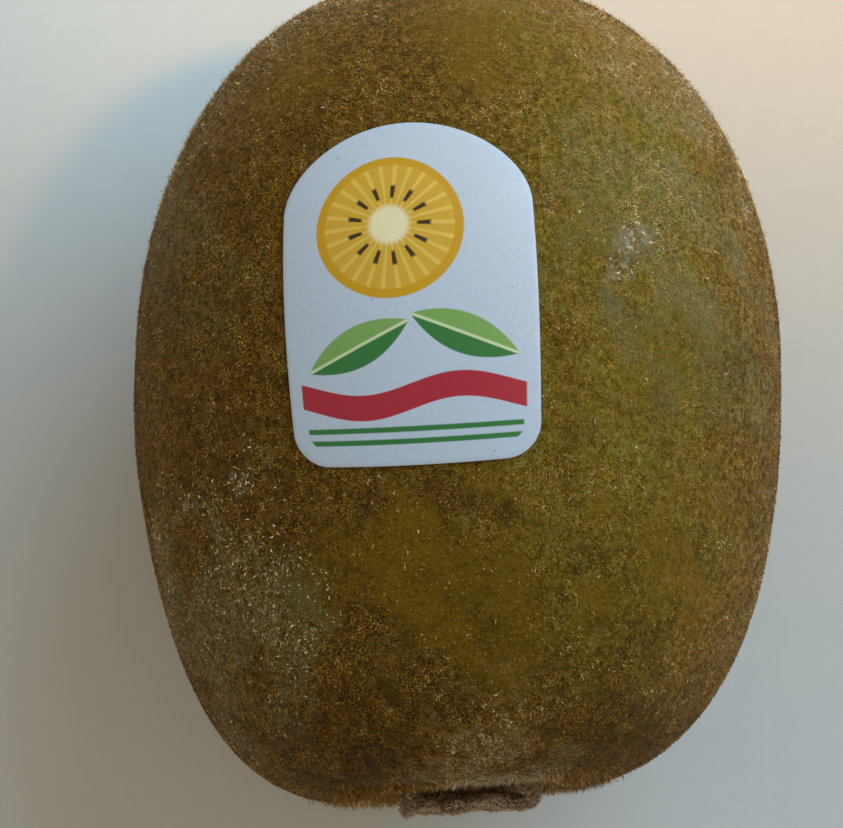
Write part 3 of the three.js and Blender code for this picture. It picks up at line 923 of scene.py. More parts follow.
        per_corner = {"data_type": "FLOAT2", "domain": "CORNER"}
        mapped = add_node(tree, "GeometryNodeStoreNamedAttribute", inputs, **per_corner)
        inputs = {"Geometry": mapped.outputs[0], "Material": given["Material"]}
        dressed = add_node(tree, "GeometryNodeSetMaterial", inputs)
        add_node(tree, "NodeGroupOutput", {0: dressed.outputs[0]})

    def grow(self, hair: Hair, carrier: bpy.types.Mesh, material: bpy.types.Material) -> bpy.types.Object:
        """Grows hair on a mesh.

        Args:
            hair: the kind of hair.
            carrier: the mesh that carries the hair, with its fuzz attribute.
            material: the hair's material.

        Returns:
            A plain mesh piece of the hair alone.
        """
        piece = bpy.data.objects.new(hair.name, carrier)
        bpy.context.scene.collection.objects.link(piece)
        modifier = piece.modifiers.new("hair", "NODES")
        modifier.node_group = self.tree
        identifiers = {i.name: i.identifier for i in self.tree.interface.items_tree if i.in_out == "INPUT"}
        for key, value in {**hair.inputs(), "Material": material}.items():
            modifier[identifiers[key]] = value
        graph = bpy.context.evaluated_depsgraph_get()
        mesh = bpy.data.meshes.new_from_object(piece.evaluated_get(graph))
        piece.modifiers.remove(modifier)
        mesh.name = hair.name
        piece.data = mesh
        return piece


@dataclass
class Label:
    """The die-cut paper label: straight sides, round foot corners and an arched head."""

    form: FruitForm
    x: float = -3.9 * MM
    y: float = 8.1 * MM
    turn: float = math.radians(3)
    half_width: float = 9.55 * MM
    bottom: float = -13.3 * MM
    shoulder: float = 6.6 * MM
    arch_height: float = 6.8 * MM
    corner_radius: float = 2.6 * MM
    lower_face: float = 0.04 * MM
    upper_face: float = 0.17 * MM
    edge_round: float = 0.025 * MM
    stiffness: float = 1.35
    least_facing: float = 0.2
    rings: int = 30

    def outline(self, steps: int = 20) -> np.ndarray:
        """The outline's points by the label's own middle, anticlockwise."""
        w, b, r = self.half_width, self.bottom, self.corner_radius

        def arc(
            cx: float, cy: float, rx: float, ry: float, start: float, end: float, count: int
        ) -> Iterator[list[float]]:
            """Points along part of an ellipse."""
            for a in np.radians(np.linspace(start, end, count, endpoint=False)):
                yield [cx + rx * math.cos(a), cy + ry * math.sin(a)]

        points = list(arc(w - r, b + r, r, r, 270, 360, steps))
        points += [[w, y] for y in np.linspace(b + r, self.shoulder, steps, endpoint=False)]
        points += list(arc(0, self.shoulder, w, self.arch_height, 0, 180, 4 * steps))
        points += [[-w, y] for y in np.linspace(self.shoulder, b + r, steps, endpoint=False)]
        points += list(arc(-w + r, b + r, r, r, 180, 270, steps))
        points += [[x, b] for x in np.linspace(-w + r, w - r, steps, endpoint=False)]
        return np.array(points)

    def edge_distance(self, flat: np.ndarray) -> np.ndarray:
        """How far flat label points lie from the outline, on either side of it."""
        outline = self.outline()
        nearest = np.full(len(flat), 1.0)
        for a, b in zip(outline, np.roll(outline, -1, axis=0)):
            t = np.clip((flat - a) @ (b - a) / ((b - a) @ (b - a)), 0, 1)
            nearest = np.minimum(nearest, np.linalg.norm(flat - a - t[:, None] * (b - a), axis=1))
        return nearest

    def _axes(self) -> tuple[np.ndarray, np.ndarray, np.ndarray]:
        """The label's middle on the skin and its directions across and along."""
        form = self.form
        reach = math.sqrt(1 - (self.x / (form.width / 2)) ** 2 - (self.y / form.blossom_length) ** 2)
        middle = np.array([self.x, self.y, form.height / 2 * reach])
        normal = form.normals(unit(middle)[None])[0]
        up = np.array([-math.sin(self.turn), math.cos(self.turn), 0.0])
        across = unit(np.cross(up, normal))
        return middle, across, np.cross(normal, across)

    def _bends(self) -> tuple[float, float]:
        """The radii that the paper is bent to across and along."""
        return self.form.width / 2, self.stiffness * self.form.blossom_length

    def directions(self, flat: np.ndarray) -> np.ndarray:
        """Directions from the fruit's middle to flat label points, wrapped on without stretching."""
        middle, across, along = self._axes()
        radius_u, radius_v = self._bends()
        u = radius_u * np.tan(flat[:, 0] / radius_u)
        v = radius_v * np.tan(flat[:, 1] / radius_v)
        return unit(middle + u[:, None] * across + v[:, None] * along)

    def flat_places(self, d: np.ndarray) -> np.ndarray:
        """Flat label points of directions from the fruit's middle; far ones for directions that face away."""
        middle, across, along = self._axes()
        radius_u, radius_v = self._bends()
        normal = np.cross(across, along)
        facing = d @ normal
        faces_it = facing > self.least_facing
        hit = d * (middle @ normal / np.where(faces_it, facing, np.inf))[:, None] - middle
        u = np.arctan(hit @ across / radius_u) * radius_u
        v = np.arctan(hit @ along / radius_v) * radius_v
        return np.where(faces_it[:, None], np.stack([u, v], 1), 1.0)

    def clearance(self, d: np.ndarray) -> np.ndarray:
        """How far outside the label's outline each direction's point is; below 0 under the label."""
        flat = self.flat_places(d)
        outline = self.outline()
        x, y = flat.T
        crossings = np.zeros(len(flat), dtype=int)
        for a, b in zip(outline, np.roll(outline, -1, axis=0)):
            if a[1] != b[1]:
                spans = (a[1] <= y) != (b[1] <= y)
                crossings += spans & (x < a[0] + (y - a[1]) / (b[1] - a[1]) * (b[0] - a[0]))
        nearest = self.edge_distance(flat)
        return np.where(crossings % 2 == 1, -nearest, nearest)

    def _sheet(self) -> tuple[np.ndarray, np.ndarray, list[list[int]]]:
        """The flat points of the label's layers, their lift over the skin and the faces between them."""
        outline = self.outline()
        count = len(outline)
        shares = [0.0] + list(np.linspace(0, 1, self.rings + 1)[1:-1]) + [0.995, 1.0]
        heights = [self.upper_face] * self.rings + [self.upper_face, self.upper_face - self.edge_round]
        layers = list(zip(shares, heights)) + [(1.0, self.lower_face), (0.0, self.lower_face)]
        flat = [outline * share if share else np.zeros((1, 2)) for share, _ in layers]
        lifts = [np.full(len(ring), height) for ring, (_, height) in zip(flat, layers)]
        faces = [[0, 1 + i, 1 + (i + 1) % count] for i in range(count)]
        start = 1
        for _ in range(len(layers) - 3):
            for i in range(count):
                j = (i + 1) % count
                faces.append([start + i, start + count + i, start + count + j, start + j])
            start += count
        plane = np.vstack(flat)
        last = len(plane) - 1
        faces += [[start + i, last, start + (i + 1) % count] for i in range(count)]
        return plane, np.concatenate(lifts), faces

    def build(self) -> bpy.types.Object:
        """Makes the label as one closed curved sheet with its print."""
        plane, lift, faces = self._sheet()
        d = self.directions(plane)
        points = self.form.placed(self.form.skin(d) + self.form.normals(d) * lift[:, None])
        piece = new_object("printed_label", points, faces)
        point_attribute(piece, "paper_mm", np.column_stack([plane, self.edge_distance(plane)]) / MM)
        piece.data.materials.append(PaperFinish().material())
        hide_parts("label")
        return piece


@dataclass(frozen=True)
class Patch:
    """A round place on the upper side, by the fruit's middle, and how strong it is."""

    x: float
    y: float
    radius: float
    strength: float = 1.0

    def share(self, points: np.ndarray) -> np.ndarray:
        """1 in the patch's middle and 0 outside it, with a ragged rim, for points over the table."""
        away = np.hypot(points[:, 0] - self.x, points[:, 1] - self.y)
        ragged = 1 + 0.7 * waves(points, 6 * MM, 51) + 0.4 * waves(points, 2 * MM, 52)
        reach = away / self.radius / np.maximum(ragged, 0.25)
        upper_side = points[:, 2] > 20 * MM
        return (1 - smooth(reach, 0.35, 1.2)) * upper_side


def patched(points: np.ndarray, patches: Sequence[Patch]) -> np.ndarray:
    """The patches' summed strengths at points over the table."""
    return np.sum([patch.strength * patch.share(points) for patch in patches], axis=0)


PATCHES = {
    "bare": (
        Patch(1.4 * MM, 28 * MM, 5 * MM, 0.8),
        Patch(0, -15 * MM, 9 * MM, 0.85),
        Patch(-7.5 * MM, -12.5 * MM, 6.5 * MM, 0.6),
        Patch(15 * MM, -13 * MM, 5.5 * MM, 0.8),
        Patch(16 * MM, 2 * MM, 6 * MM, 0.7),
        Patch(10 * MM, 12 * MM, 4 * MM, 0.6),
        Patch(-12 * MM, 24 * MM, 3.5 * MM, 0.6),
    ),
    # Shade lifts or lowers the hairs' tone, and below 0 darkens the skin. The lifts at the upper right and
    # lower left are painted sheen, the one at the far upper right a painted rim glow, and the one over the
    # stem end the paler matted fuzz.
    "shade": (
        Patch(-7.7 * MM, -29 * MM, 6.5 * MM, -0.3),
        Patch(2.4 * MM, -31 * MM, 7 * MM, 0.34),
        Patch(12 * MM, -30 * MM, 8 * MM, -0.2),
        Patch(23 * MM, 0, 9 * MM, -0.1),
        Patch(13.5 * MM, 14 * MM, 8 * MM, 0.12),
        Patch(20 * MM, 27 * MM, 9 * MM, 0.1),
        Patch(-19 * MM, -17 * MM, 9 * MM, 0.18),
    ),
    # Grey: the patches on the right and at the lower left are painted sheen, the one by the stem end the
    # grey-tan matted fuzz.
    "grey": (
        Patch(-19 * MM, -18 * MM, 9 * MM, 0.85),
        Patch(2.4 * MM, -33 * MM, 8 * MM, 0.6),
        Patch(14 * MM, 14 * MM, 9 * MM, 0.6),
        Patch(20 * MM, 3 * MM, 8 * MM, 0.4),
        Patch(17 * MM, 26 * MM, 8 * MM, 0.4),
        Patch(-23 * MM, 12 * MM, 7 * MM, 0.5),
    ),
    # Tan: the patch at the far upper right is partly a painted rim glow, the one by the stem end the matted
    # fuzz.
    "tan": (
        Patch(19 * MM, 28 * MM, 10 * MM),
        Patch(2.4 * MM, -31 * MM, 7 * MM, 0.7),
        Patch(24 * MM, 9 * MM, 8 * MM, 0.6),
        Patch(24 * MM, -6 * MM, 9 * MM, 0.5),
        Patch(22 * MM, -20 * MM, 8 * MM, 0.6),
        Patch(-20 * MM, 26 * MM, 7 * MM, 0.4),
    ),
    # Glint: where the very pale hairs that are painted glints grow, at the lower left.
    "glint": (Patch(-17.5 * MM, -15 * MM, 9 * MM),),
    "dust": (
        Patch(12.8 * MM, 11.6 * MM, 1.3 * MM),
        Patch(11.7 * MM, 9.4 * MM, 1.5 * MM),
        Patch(-16.8 * MM, -6.6 * MM, 0.8 * MM),
    ),
}


@dataclass
class FruitSkin:
    """The skin as one closed, slightly uneven surface."""

    form: FruitForm
    label: Label
    around: int = 264
    along: int = 176
    dent: float = 0.14 * MM
    label_gap: tuple[float, float] = (0.15 * MM, 0.6 * MM)
    table_gap: tuple[float, float] = (0.25 * MM, 0.9 * MM)
    least_cover: float = 0.55
    stem_cover: float = 0.45
    blossom_cover: float = 0.3
    flank_cover: float = 0.25
    bare_loss: float = 0.75
    # The stem end's hollow, darkened as painted shade.
    hollow_radius: float = 5.5 * MM
    hollow_shade: float = 0.06
    # Painted light: the flanks and underside are made lighter, tanner and greyer for the sheen of the fuzz
    # seen edge-on, and the far rim lighter and tanner for its glow.
    flank_tan: float = 0.3
    flank_down: float = 0.35
    flank_grey: float = 0.25
    flank_shade: float = 0.06
    rim_shade: float = 0.14
    rim_tan: float = 0.4
    rim_reach: tuple[float, float] = (2 * MM, 26 * MM)
    mat_tan: float = 0.6
    mat_inner: tuple[float, float] = (3.5 * MM, 5.5 * MM)
    mat_outer: tuple[float, float] = (9 * MM, 14 * MM)
    mat_close: tuple[float, float] = (6.5 * MM, 8.5 * MM)

    def _directions(self) -> tuple[np.ndarray, list[list[int]]]:
        """Unit directions of the grid's points and the grid's faces."""
        polar = np.linspace(0, math.pi, self.along + 1)[1:-1]
        polar = polar - 0.25 * np.sin(2 * polar)
        turn = np.linspace(0, 2 * math.pi, self.around, endpoint=False)
        p, t = np.meshgrid(polar, turn, indexing="ij")
        grid = np.stack([np.sin(p) * np.cos(t), np.cos(p), -np.sin(p) * np.sin(t)], axis=-1).reshape(-1, 3)
        d = np.vstack([[[0, 1, 0]], grid, [[0, -1, 0]]])
        n, last = self.around, len(d) - 1
        faces = [[0, 1 + i, 1 + (i + 1) % n] for i in range(n)]
        for r in range(len(polar) - 1):
            a = 1 + r * n
            faces += [[a + i, a + n + i, a + n + (i + 1) % n, a + (i + 1) % n] for i in range(n)]
        a = 1 + (len(polar) - 1) * n
        faces += [[a + i, last, a + (i + 1) % n] for i in range(n)]
        return d, faces

    def _cover(self, d: np.ndarray, points: np.ndarray, bare: np.ndarray) -> np.ndarray:
        """How densely the hair stands, 1 where it is densest."""
        clear = smooth(self.label.clearance(d), *self.label_gap)
        off_table = smooth(points[:, 2], *self.table_gap)
        stem = smooth(-points[:, 1], 0.55 * self.form.stem_length, 0.95 * self.form.stem_length)
        blossom = smooth(points[:, 1], 0.8 * self.form.blossom_length, self.form.blossom_length)
        flank = 1 - smooth(np.abs(points[:, 2] - self.form.middle_z), 0, 0.75 * self.form.height / 2)
        ends = self.least_cover + self.stem_cover * stem + self.blossom_cover * blossom
        dense = np.clip(ends + self.flank_cover * flank, 0, 1)
        return clear * off_table * dense * (1 - self.bare_loss * np.minimum(bare, 1))

    def _off_stem(self, points: np.ndarray) -> np.ndarray:
        """How far points lie from the stem end's own middle, as seen along the fruit."""
        return np.hypot(points[:, 0] - self.form.stem_bend, points[:, 2] - self.form.middle_z)

    def _stem_hollow(self, points: np.ndarray) -> np.ndarray:
        """1 in the hollow at the stem end and 0 outside it."""
        outside = smooth(self._off_stem(points), 0.85 * self.hollow_radius, 1.15 * self.hollow_radius)
        return (points[:, 1] < 0) * (1 - outside)

    def _stem_mat(self, points: np.ndarray) -> np.ndarray:
        """1 in the ring of matted fuzz round the sepals, thinner close to them on the right."""
        away = self._off_stem(points)
        ring = smooth(away, *self.mat_inner) * (1 - smooth(away, *self.mat_outer))
        left = 0.25 + 0.75 * smooth(-points[:, 0], -1 * MM, 4 * MM)
        return (points[:, 1] < 0) * ring * np.maximum(left, smooth(away, *self.mat_close))

    def _flank(self, points: np.ndarray) -> np.ndarray:
        """1 on the flanks and the underside, 0 on the upper side."""
        return 1 - smooth((points[:, 2] - self.form.middle_z) / (self.form.height / 2), -0.2, 0.7)

    def _shares(self, points: np.ndarray) -> dict[str, np.ndarray]:
        """How strong each finish and each kind of hair is, at points over the table."""
        shares = {name: patched(points, patches) for name, patches in PATCHES.items()}
        # Painted sheen on the flanks and painted glow along the far rim.
        flank = self._flank(points)
        above = smooth(points[:, 2] / self.form.middle_z, 0.2, 1.1)
        rim = flank * smooth(points[:, 1], *self.rim_reach) * above
        tan = shares["tan"] + self.flank_tan * flank + self.rim_tan * rim
        shares["mat"] = self._stem_mat(points)
        shares["halo"] = rim
        shares["down"] = self.flank_down * flank
        shares["grey"] = np.clip(shares["grey"] + self.flank_grey * flank, 0, 1)
        shares["shade"] += self.flank_shade * flank + self.rim_shade * rim
        # Painted shade in the stem end's hollow.
        shares["shade"] -= self.hollow_shade * self._stem_hollow(points)
        shares["tan"] = np.clip(tan + self.mat_tan * shares["mat"], 0, 1)
        return shares

    def build(self) -> bpy.types.Object:
        """Makes the skin, with the attributes that its finish and its hair read."""
        d, faces = self._directions()
        uneven = 0.6 * waves(d, 0.5, 3) + 0.4 * waves(d, 0.16, 4)
        sunk = self.dent * np.clip(0.5 + 0.5 * uneven, 0, 1)
        points = self.form.placed(self.form.skin(d) - self.form.normals(d) * sunk[:, None])
        points[:, 2] = np.maximum(points[:, 2], 0)
        piece = new_object("fuzzy_skin", points, faces)
        shares = self._shares(points)
        for name, share in shares.items():
            point_attribute(piece, name, share)
        point_attribute(piece, "fuzz", self._cover(d, points, shares["bare"]))
        piece.data.materials.append(SkinFinish().material())
        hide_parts("fruit_body")
        return piece


# Each row: name, cover, seed, hairs a square metre, length, width, lift, stray, clump size, clump contrast
# and the range of tones.
SKIN_HAIRS = (
    Hair("fuzz_brown", "fuzz", 11, 16e6, 0.36 * MM, 0.056 * MM, 0.22, 0.9, 2.4 * MM, 0.5, 0.0, 0.45),
    Hair("fuzz_ochre", "fuzz", 12, 20e6, 0.36 * MM, 0.06 * MM, 0.25, 1.1, 1.4 * MM, 0.8, 0.2, 0.6),
    Hair("fuzz_tan", "fuzz", 13, 27e6, 0.36 * MM, 0.064 * MM, 0.28, 1.2, 1.3 * MM, 1.0, 0.36, 0.76),
    Hair("fuzz_down", "fuzz", 15, 22e6, 0.28 * MM, 0.064 * MM, 0.28, 1.4, 2.2 * MM, 1.0, 0.3, 0.7),
    # fuzz_pale and fuzz_glint are partly painted glints: very pale hairs that stand in for glints of light.
    Hair("fuzz_pale", "fuzz", 14, 4e6, 0.18 * MM, 0.07 * MM, 0.6, 1.5, 3.5 * MM, 0.8, 0.62, 0.95),
    Hair("fuzz_glint", "glint", 16, 3.6e6, 0.36 * MM, 0.1 * MM, 0.3, 1.3, 2.5 * MM, 0.5, 0.9, 1.15),
    Hair("dust_flakes", "dust", 17, 7e6, 0.42 * MM, 0.15 * MM, 0.15, 1.5, 0.8 * MM, 0.7, 0.9, 1.1),
    # fuzz_halo: pale hair along the far rim, which is partly a painted rim glow.
    Hair("fuzz_halo", "halo", 19, 18e6, 0.45 * MM, 0.045 * MM, 0.9, 1.5, 2.0 * MM, 0.3, 0.7, 0.9),
    Hair("fuzz_mat", "mat", 18, 75e6, 0.7 * MM, 0.055 * MM, 0.7, 1.6, 1.0 * MM, 0.4, 0.5, 0.92),
)


@dataclass
class SkinFuzz:
    """The short hair all over the skin."""

    tree: FuzzTree
    skin: bpy.types.Object

    def build(self) -> list[bpy.types.Object]:
        """Grows one piece for each kind of hair."""
        material = SKIN_FUZZ.material()
        pieces = []
        for hair in SKIN_HAIRS:
            piece = self.tree.grow(hair, self.skin.data, material)
            pieces.append(piece)
        return pieces


@dataclass
class DriedSepals:
    """The ragged collar of dried sepals round the stem scar, with its own fuzz."""

    form: FruitForm
    tree: FuzzTree
    seed: int = 11
    count: int = 5
    inner: float = 1.3 * MM
    outer: float = 6.1 * MM
    half_width: float = 3.2 * MM
    thickness: float = 1.15 * MM
    thinning: float = 0.45
    gap: float = 0.35 * MM
    clearance: float = 0.68 * MM
    lift: float = 0.6 * MM
    level_across: float = 0.05
    level_up: float = 0.08
    curl: float = 2.4 * MM
    lean: float = 0.26 * MM
    scar_radius: float = 2.7 * MM
    scar_height: float = 1.9 * MM
    pit_radius: float = 1.5 * MM
    pit_depth: float = 0.9 * MM
    steps: int = 26
    hair: Hair = Hair(
        "sepal_fuzz", "fuzz", 21, 90e6, 0.46 * MM, 0.052 * MM, 0.2, 1.6, 1.1 * MM, 0.5, 0.15, 0.85
    )

    def _sepal(self, turn: float, draw: Callable[[], float], seed: int) -> Shape:
        """One wrinkled sepal as a closed sheet, by the end's own middle."""
        reach = self.outer * (0.92 + 0.16 * draw())
        half_width = self.half_width * (0.9 + 0.2 * draw())
        lift = self.lift * (0.6 + 0.8 * draw())
        skew = (draw() - 0.5) * 0.8 * MM
        wave = draw() * 6
        n = self.steps + 1
        v, u = np.meshgrid(np.linspace(0, 1, n), np.linspace(-1, 1, n), indexing="ij")
        v, u = v.ravel(), u.ravel()
        spread = 0.42 + 0.58 * np.sin(math.pi * (0.18 + 0.62 * v)) * (1 - 0.35 * v**6)
        ragged = 1 + 0.045 * waves(np.column_stack([u, u * 0 + seed, u * 0]), 0.5, 40 + seed) * v**3
        radius = self.inner + (reach - self.inner) * v * (1 - 0.16 * u * u * v) * ragged
        frayed = 1 + 0.05 * waves(np.column_stack([v, v * 0 + seed, v * 0]), 0.4, 60 + seed) * np.abs(u) ** 3
        across = u * half_width * spread * frayed + skew * v * v
        x = radius * math.cos(turn) - across * math.sin(turn)
        z = radius * math.sin(turn) + across * math.cos(turn)
        level = self.level_across * x + self.level_up * z
        stand = lift * v**3 + self.lean * (u + 1) * (0.4 + 0.6 * v) + level
        turn_back = self.curl * (2 * np.maximum(0, v - 0.75)) ** 2
        ripple = 0.12 * MM * np.sin(wave + 3 * u + 4 * v) * v
        raised = self.gap + self.clearance + stand - turn_back + ripple
        foot = self.form.end_height(x, z, End.STEM) - raised
        wrinkle = 0.1 * MM * waves(np.column_stack([u * 1.6, v * 0.7, u * 0 + seed]), 0.55, 80 + seed)
        edge = np.sqrt(np.clip(1 - np.maximum(np.abs(u), v) ** 10, 0.02, 1))
        body = self.thickness * (1 - self.thinning * v) * edge
        lower = np.column_stack([x, foot - wrinkle * 0.5, z])
        upper = np.column_stack([x, foot - body - wrinkle, z])
        faces = []
        for r in range(self.steps):
            for c in range(self.steps):
                a = r * n + c
                faces.append([a, a + 1, a + n + 1, a + n])
                faces.append([k + n * n for k in (a, a + n, a + n + 1, a + 1)])
        rim = [c for c in range(n)] + [r * n + n - 1 for r in range(1, n)]
        rim += [(n - 1) * n + c for c in range(n - 2, -1, -1)] + [r * n for r in range(n - 2, 0, -1)]
        faces += [[a, a + n * n, b + n * n, b] for a, b in zip(rim, rim[1:] + rim[:1])]
        return np.vstack([lower, upper]), faces

    def _scar(self) -> Shape:
        """The rough stub where the stem broke off, turned about the fruit's axis."""
        segments, rows = 56, 34
        foot = float(self.form.end_height(np.zeros(1), np.zeros(1), End.STEM)[0]) - self.gap
        r, h, pr, pd = self.scar_radius, self.scar_height, self.pit_radius, self.pit_depth
        corners = (
            (r * 0.8, 0.12 * MM),
            (r, 0.5 * MM),
            (r * 0.94, h * 0.8),
            (r * 0.8, h),
            (pr, h - 0.1 * MM),
            (pr * 0.75, h - pd * 0.9),
            (pr * 0.3, h - pd),
        )
        spans = np.linspace(0, len(corners) - 1, rows)
        radii = np.interp(spans, range(len(corners)), [c[0] for c in corners])
        raised = np.interp(spans, range(len(corners)), [c[1] for c in corners])
        turn = np.linspace(0, 2 * math.pi, segments, endpoint=False)
        rr, tt = np.meshgrid(radii, turn, indexing="ij")
        hh, _ = np.meshgrid(raised, turn, indexing="ij")
        ring = np.stack([rr * np.cos(tt), foot - hh, rr * np.sin(tt)], axis=-1).reshape(-1, 3)
        rough = 1 + 0.06 * waves(ring, 1.1 * MM, 21)
        ring[:, 0] *= rough
        ring[:, 2] *= rough
        ring[:, 1] -= 0.12 * MM * waves(ring, 0.8 * MM, 22) * (ring[:, 1] < foot - 0.3 * MM)
        ring[:, 1] += self.form.stem_lean(ring[:, 0], ring[:, 2])
        points = np.vstack([ring, [[0, foot, 0]], [[0, foot - h + pd, 0]]])
        return points, turned_faces(rows, segments)

    def build(self) -> list[bpy.types.Object]:
        """Makes the collar and its fuzz."""
        draw = random_stream(self.seed)
        parts = [self._scar()]
        for i in range(self.count):
            turn = (i + 0.25) * 2 * math.pi / self.count + (draw() - 0.5) * 0.25
            parts.append(self._sepal(turn, draw, i))
        points, faces = joined(parts)
        placed = self.form.placed(points) + [self.form.stem_bend, 0, 0]
        collar = new_object("sepal_collar", placed, faces)
        outward(collar)
        point_attribute(collar, "fuzz", np.ones(len(placed)))
        collar.data.materials.append(SEPAL.material())
        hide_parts("dried_sepals")
        fuzz = self.tree.grow(self.hair, collar.data, SEPAL_FUZZ.material())
        return [collar, fuzz]


@dataclass
class DriedStyles:
    """The brittle tuft of dried styles in the blossom end's dimple."""

    form: FruitForm
    seed: int = 29
    count: int = 34
    length: float = 2.7 * MM
    root_radius: float = 0.16 * MM
    pad_radius: float = 1.7 * MM
    pad_height: float = 0.9 * MM
    gap: float = 0.3 * MM
    spread: float = 1.2

    def _style(self, i: int, draw: Callable[[], float], foot: float) -> Shape:
        """One curved, tapered style with a small club at its tip."""
        sides, rings = 6, 9
        share = (i + 0.5) / self.count
        turn = i * GOLDEN_ANGLE + (draw() - 0.5) * 0.5
        seat = self.pad_radius * 0.75 * math.sqrt(share)
        length = self.length * (0.7 + 0.6 * draw())
        tilt = math.atan(self.spread * math.sqrt(share) * (0.7 + 0.6 * draw()))
        droop = (draw() - 0.3) * 0.9
        t = np.linspace(0, 1, rings)
        angle = tilt + droop * t

        def run(slope: np.ndarray) -> np.ndarray:
            """How far the style has come at each ring."""
            return np.concatenate([[0], np.cumsum(slope[1:] * length / (rings - 1))])

        out = seat + run(np.sin(angle))
        rise = foot + self.pad_height * 0.55 + run(np.cos(angle))
        thick = self.root_radius * (1 - 0.6 * t + 0.25 * smooth(t, 0.85, 1.0))
        c, s = math.cos(turn), math.sin(turn)
        points = []
        for k in range(rings):
            for a in np.linspace(0, 2 * math.pi, sides, endpoint=False):
                side, lift = thick[k] * math.cos(a), thick[k] * math.sin(a)
                x, y = out[k] + side * math.cos(angle[k]), rise[k] - side * math.sin(angle[k])
                points.append([x * c - lift * s, y, x * s + lift * c])
        ends = [list(range(sides))[::-1], [(rings - 1) * sides + j for j in range(sides)]]
        return np.array(points), ring_faces(rings, sides) + ends

    def _pad(self, foot: float) -> Shape:
        """The lumpy pad that the styles stand on."""
        segments = 40
        r, h = self.pad_radius, self.pad_height
        profile = ((0.3 * r, 0.02 * h), (0.85 * r, 0.1 * h), (r, 0.45 * h), (0.75 * r, 0.9 * h), (0.3 * r, h))
        turn = np.linspace(0, 2 * math.pi, segments, endpoint=False)
        c, s = np.cos(turn), np.sin(turn)
        ring = np.vstack([np.column_stack([a * c, np.full(segments, foot + b), a * s]) for a, b in profile])
        lumps = 0.08 * waves(ring, 0.9 * MM, 31)
        ring *= 1 + np.column_stack([lumps, np.zeros(len(ring)), lumps])
        points = np.vstack([ring, [[0, foot, 0]], [[0, foot + h, 0]]])
        return points, turned_faces(len(profile), segments)

    def build(self) -> bpy.types.Object:
        """Makes the tuft."""
        draw = random_stream(self.seed)
        foot = float(self.form.end_height(np.zeros(1), np.zeros(1), End.BLOSSOM)[0]) + self.gap
        points, faces = joined([self._pad(foot)] + [self._style(i, draw, foot) for i in range(self.count)])
        placed = self.form.placed(points) + [self.form.blossom_bend, 0, 0]
        tuft = new_object("style_tuft", placed, faces)
        outward(tuft)
        tuft.data.materials.append(STYLE.material())
        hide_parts("dried_styles")
        return tuft


@dataclass(frozen=True)
class SoftLight:
    """One square area light, placed by a distance and a direction from a point.

    Its azimuth runs from +X towards +Y. That, its elevation and the full angle of its beam are in degrees.
    """

    name: str
    about: tuple[float, float, float]
    distance: float
    azimuth: float
    elevation: float
    aim: tuple[float, float, float]
    side: float
    watts: float
    beam: float
    colour: tuple[float, float, float]

    def add(self) -> None:
        """Adds the light to the scene."""
        a, e = math.radians(self.azimuth), math.radians(self.elevation)
        direction = np.array([math.cos(e) * math.cos(a), math.cos(e) * math.sin(a), math.sin(e)])
        place = np.array(self.about) + self.distance * direction
        away = unit(np.array(self.aim) - place)
        data = bpy.data.lights.new(self.name, "AREA")
        data.size = self.side
        data.energy = self.watts
        data.spread = math.radians(self.beam)
        data.color = self.colour
        light = bpy.data.objects.new(self.name, data)
        light.location = place
        light.rotation_euler = (math.acos(-away[2]), 0, math.atan2(-away[0], away[1]))
        bpy.context.scene.collection.objects.link(light)


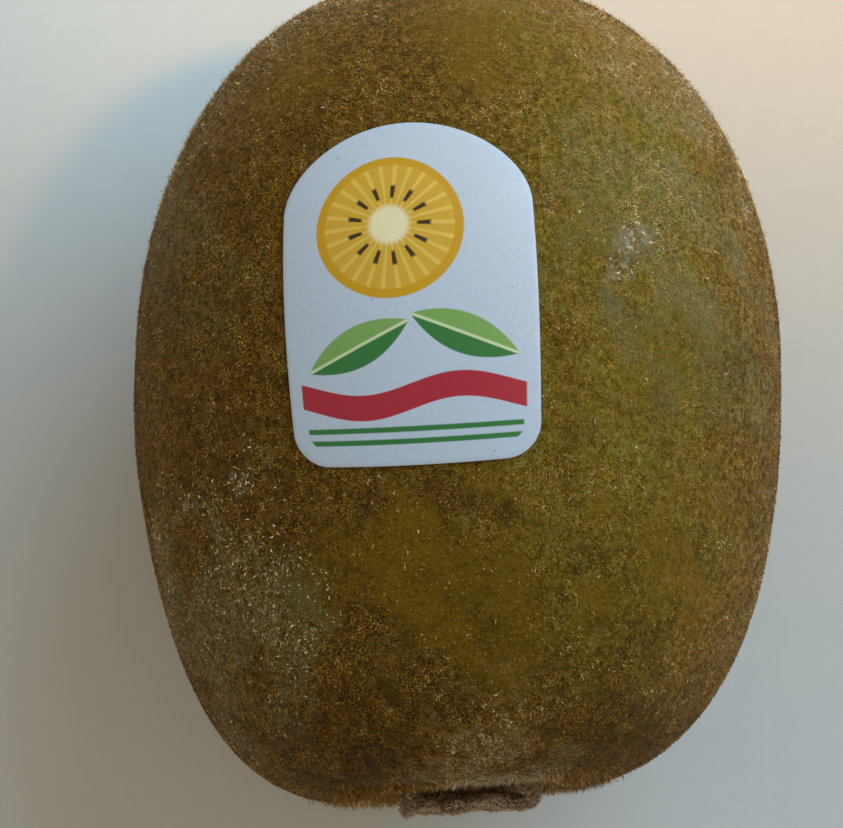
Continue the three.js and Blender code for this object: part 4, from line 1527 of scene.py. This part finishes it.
@dataclass
class Studio:
    """The pale table, the soft lights and the camera straight above."""

    form: FruitForm
    image_width_px: int = 843
    scale_px_per_mm: float = 12.0
    camera_rise: float = 220 * MM
    camera_x: float = -2.868 * MM
    camera_y: float = -1.465 * MM
    sensor: float = 36.0
    table_half: float = 1.5
    mottle_mm: float = 2.5
    room_colour: tuple[float, float, float, float] = (1.0, 0.91, 0.73, 1.0)
    room_strength: float = 0.405

    def table(self) -> bpy.types.Object:
        """Makes the table top of matt painted board: pale, faintly mottled and without a highlight."""
        half = self.table_half
        corners = np.array([[-half, -half, 0], [half, -half, 0], [half, half, 0], [-half, half, 0]])
        floor = new_object("table_top", corners, [[0, 1, 2, 3]], soft=False)
        paint = Paint("pale_table")
        s = paint.sums
        mottle = s.noise(paint.place_mm(), self.mottle_mm, 3)
        colour = s.mix(s.remap(mottle, 0.3, 0.7, 0, 0.25), "#d6d5d0", "#cfcfcb")
        paint.set(Base_Color=colour, Roughness=0.55)
        floor.data.materials.append(paint.material)
        return floor

    def camera(self) -> None:
        """Places the camera over the fruit, looking straight down with +Y up in the picture."""
        data = bpy.data.cameras.new("camera")
        data.sensor_width = self.sensor
        focal_px = self.scale_px_per_mm * self.camera_rise / MM
        data.lens = focal_px * self.sensor / self.image_width_px
        data.clip_start = 0.01
        camera = bpy.data.objects.new("camera", data)
        camera.location = (self.camera_x, self.camera_y, self.form.middle_z + self.camera_rise)
        bpy.context.scene.collection.objects.link(camera)
        bpy.context.scene.camera = camera

    def lights(self) -> None:
        """Adds the warm lamp above right, the cool window at the low right, its patch and the dim room."""
        table = (0.0, 0.0, 0.0)
        middle = (0.0, 0.0, self.form.middle_z)
        lamp = SoftLight(
            "warm_lamp",
            about=table,
            distance=0.55,
            azimuth=17.7,
            elevation=62.2,
            aim=(0.018, 0.08, 0.0),
            side=0.06,
            watts=0.03,
            beam=19.5,
            colour=(1.0, 0.5, 0.0),
        )
        window = SoftLight(
            "cool_window",
            about=middle,
            distance=0.65,
            azimuth=45.8,
            elevation=30.6,
            aim=middle,
            side=0.6,
            watts=4.49,
            beam=180.0,
            colour=(0.49, 0.75, 1.0),
        )
        patch = SoftLight(
            "cool_patch",
            about=table,
            distance=0.55,
            azimuth=87.4,
            elevation=48.5,
            aim=(-0.022, 0.072, 0.0),
            side=0.06,
            watts=0.0088,
            beam=11.2,
            colour=(0.26, 0.66, 1.0),
        )
        for light in (lamp, window, patch):
            light.add()
        world = bpy.data.worlds.new("room")
        world.use_nodes = True
        background = world.node_tree.nodes["Background"].inputs
        background["Color"].default_value = self.room_colour
        background["Strength"].default_value = self.room_strength
        bpy.context.scene.world = world
        bpy.context.scene.view_settings.view_transform = "Standard"


def main() -> None:
    """Loads the frame, builds every piece and writes the sizes."""
    logging.basicConfig(level=logging.INFO, format="%(message)s")
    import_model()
    form = FruitForm()
    studio = Studio(form)
    studio.camera()
    studio.table()
    studio.lights()

    label = Label(form)
    tree = FuzzTree("short_hair")
    pieces = [label.build()]
    skin = FruitSkin(form, label).build()
    pieces.append(skin)
    pieces += SkinFuzz(tree, skin).build()
    pieces += DriedSepals(form, tree).build()
    pieces.append(DriedStyles(form).build())
    for piece in pieces:
        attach(piece, "root")
        log.info("%s: %d faces", piece.name, len(piece.data.polygons))


if __name__ == "__main__":
    main()
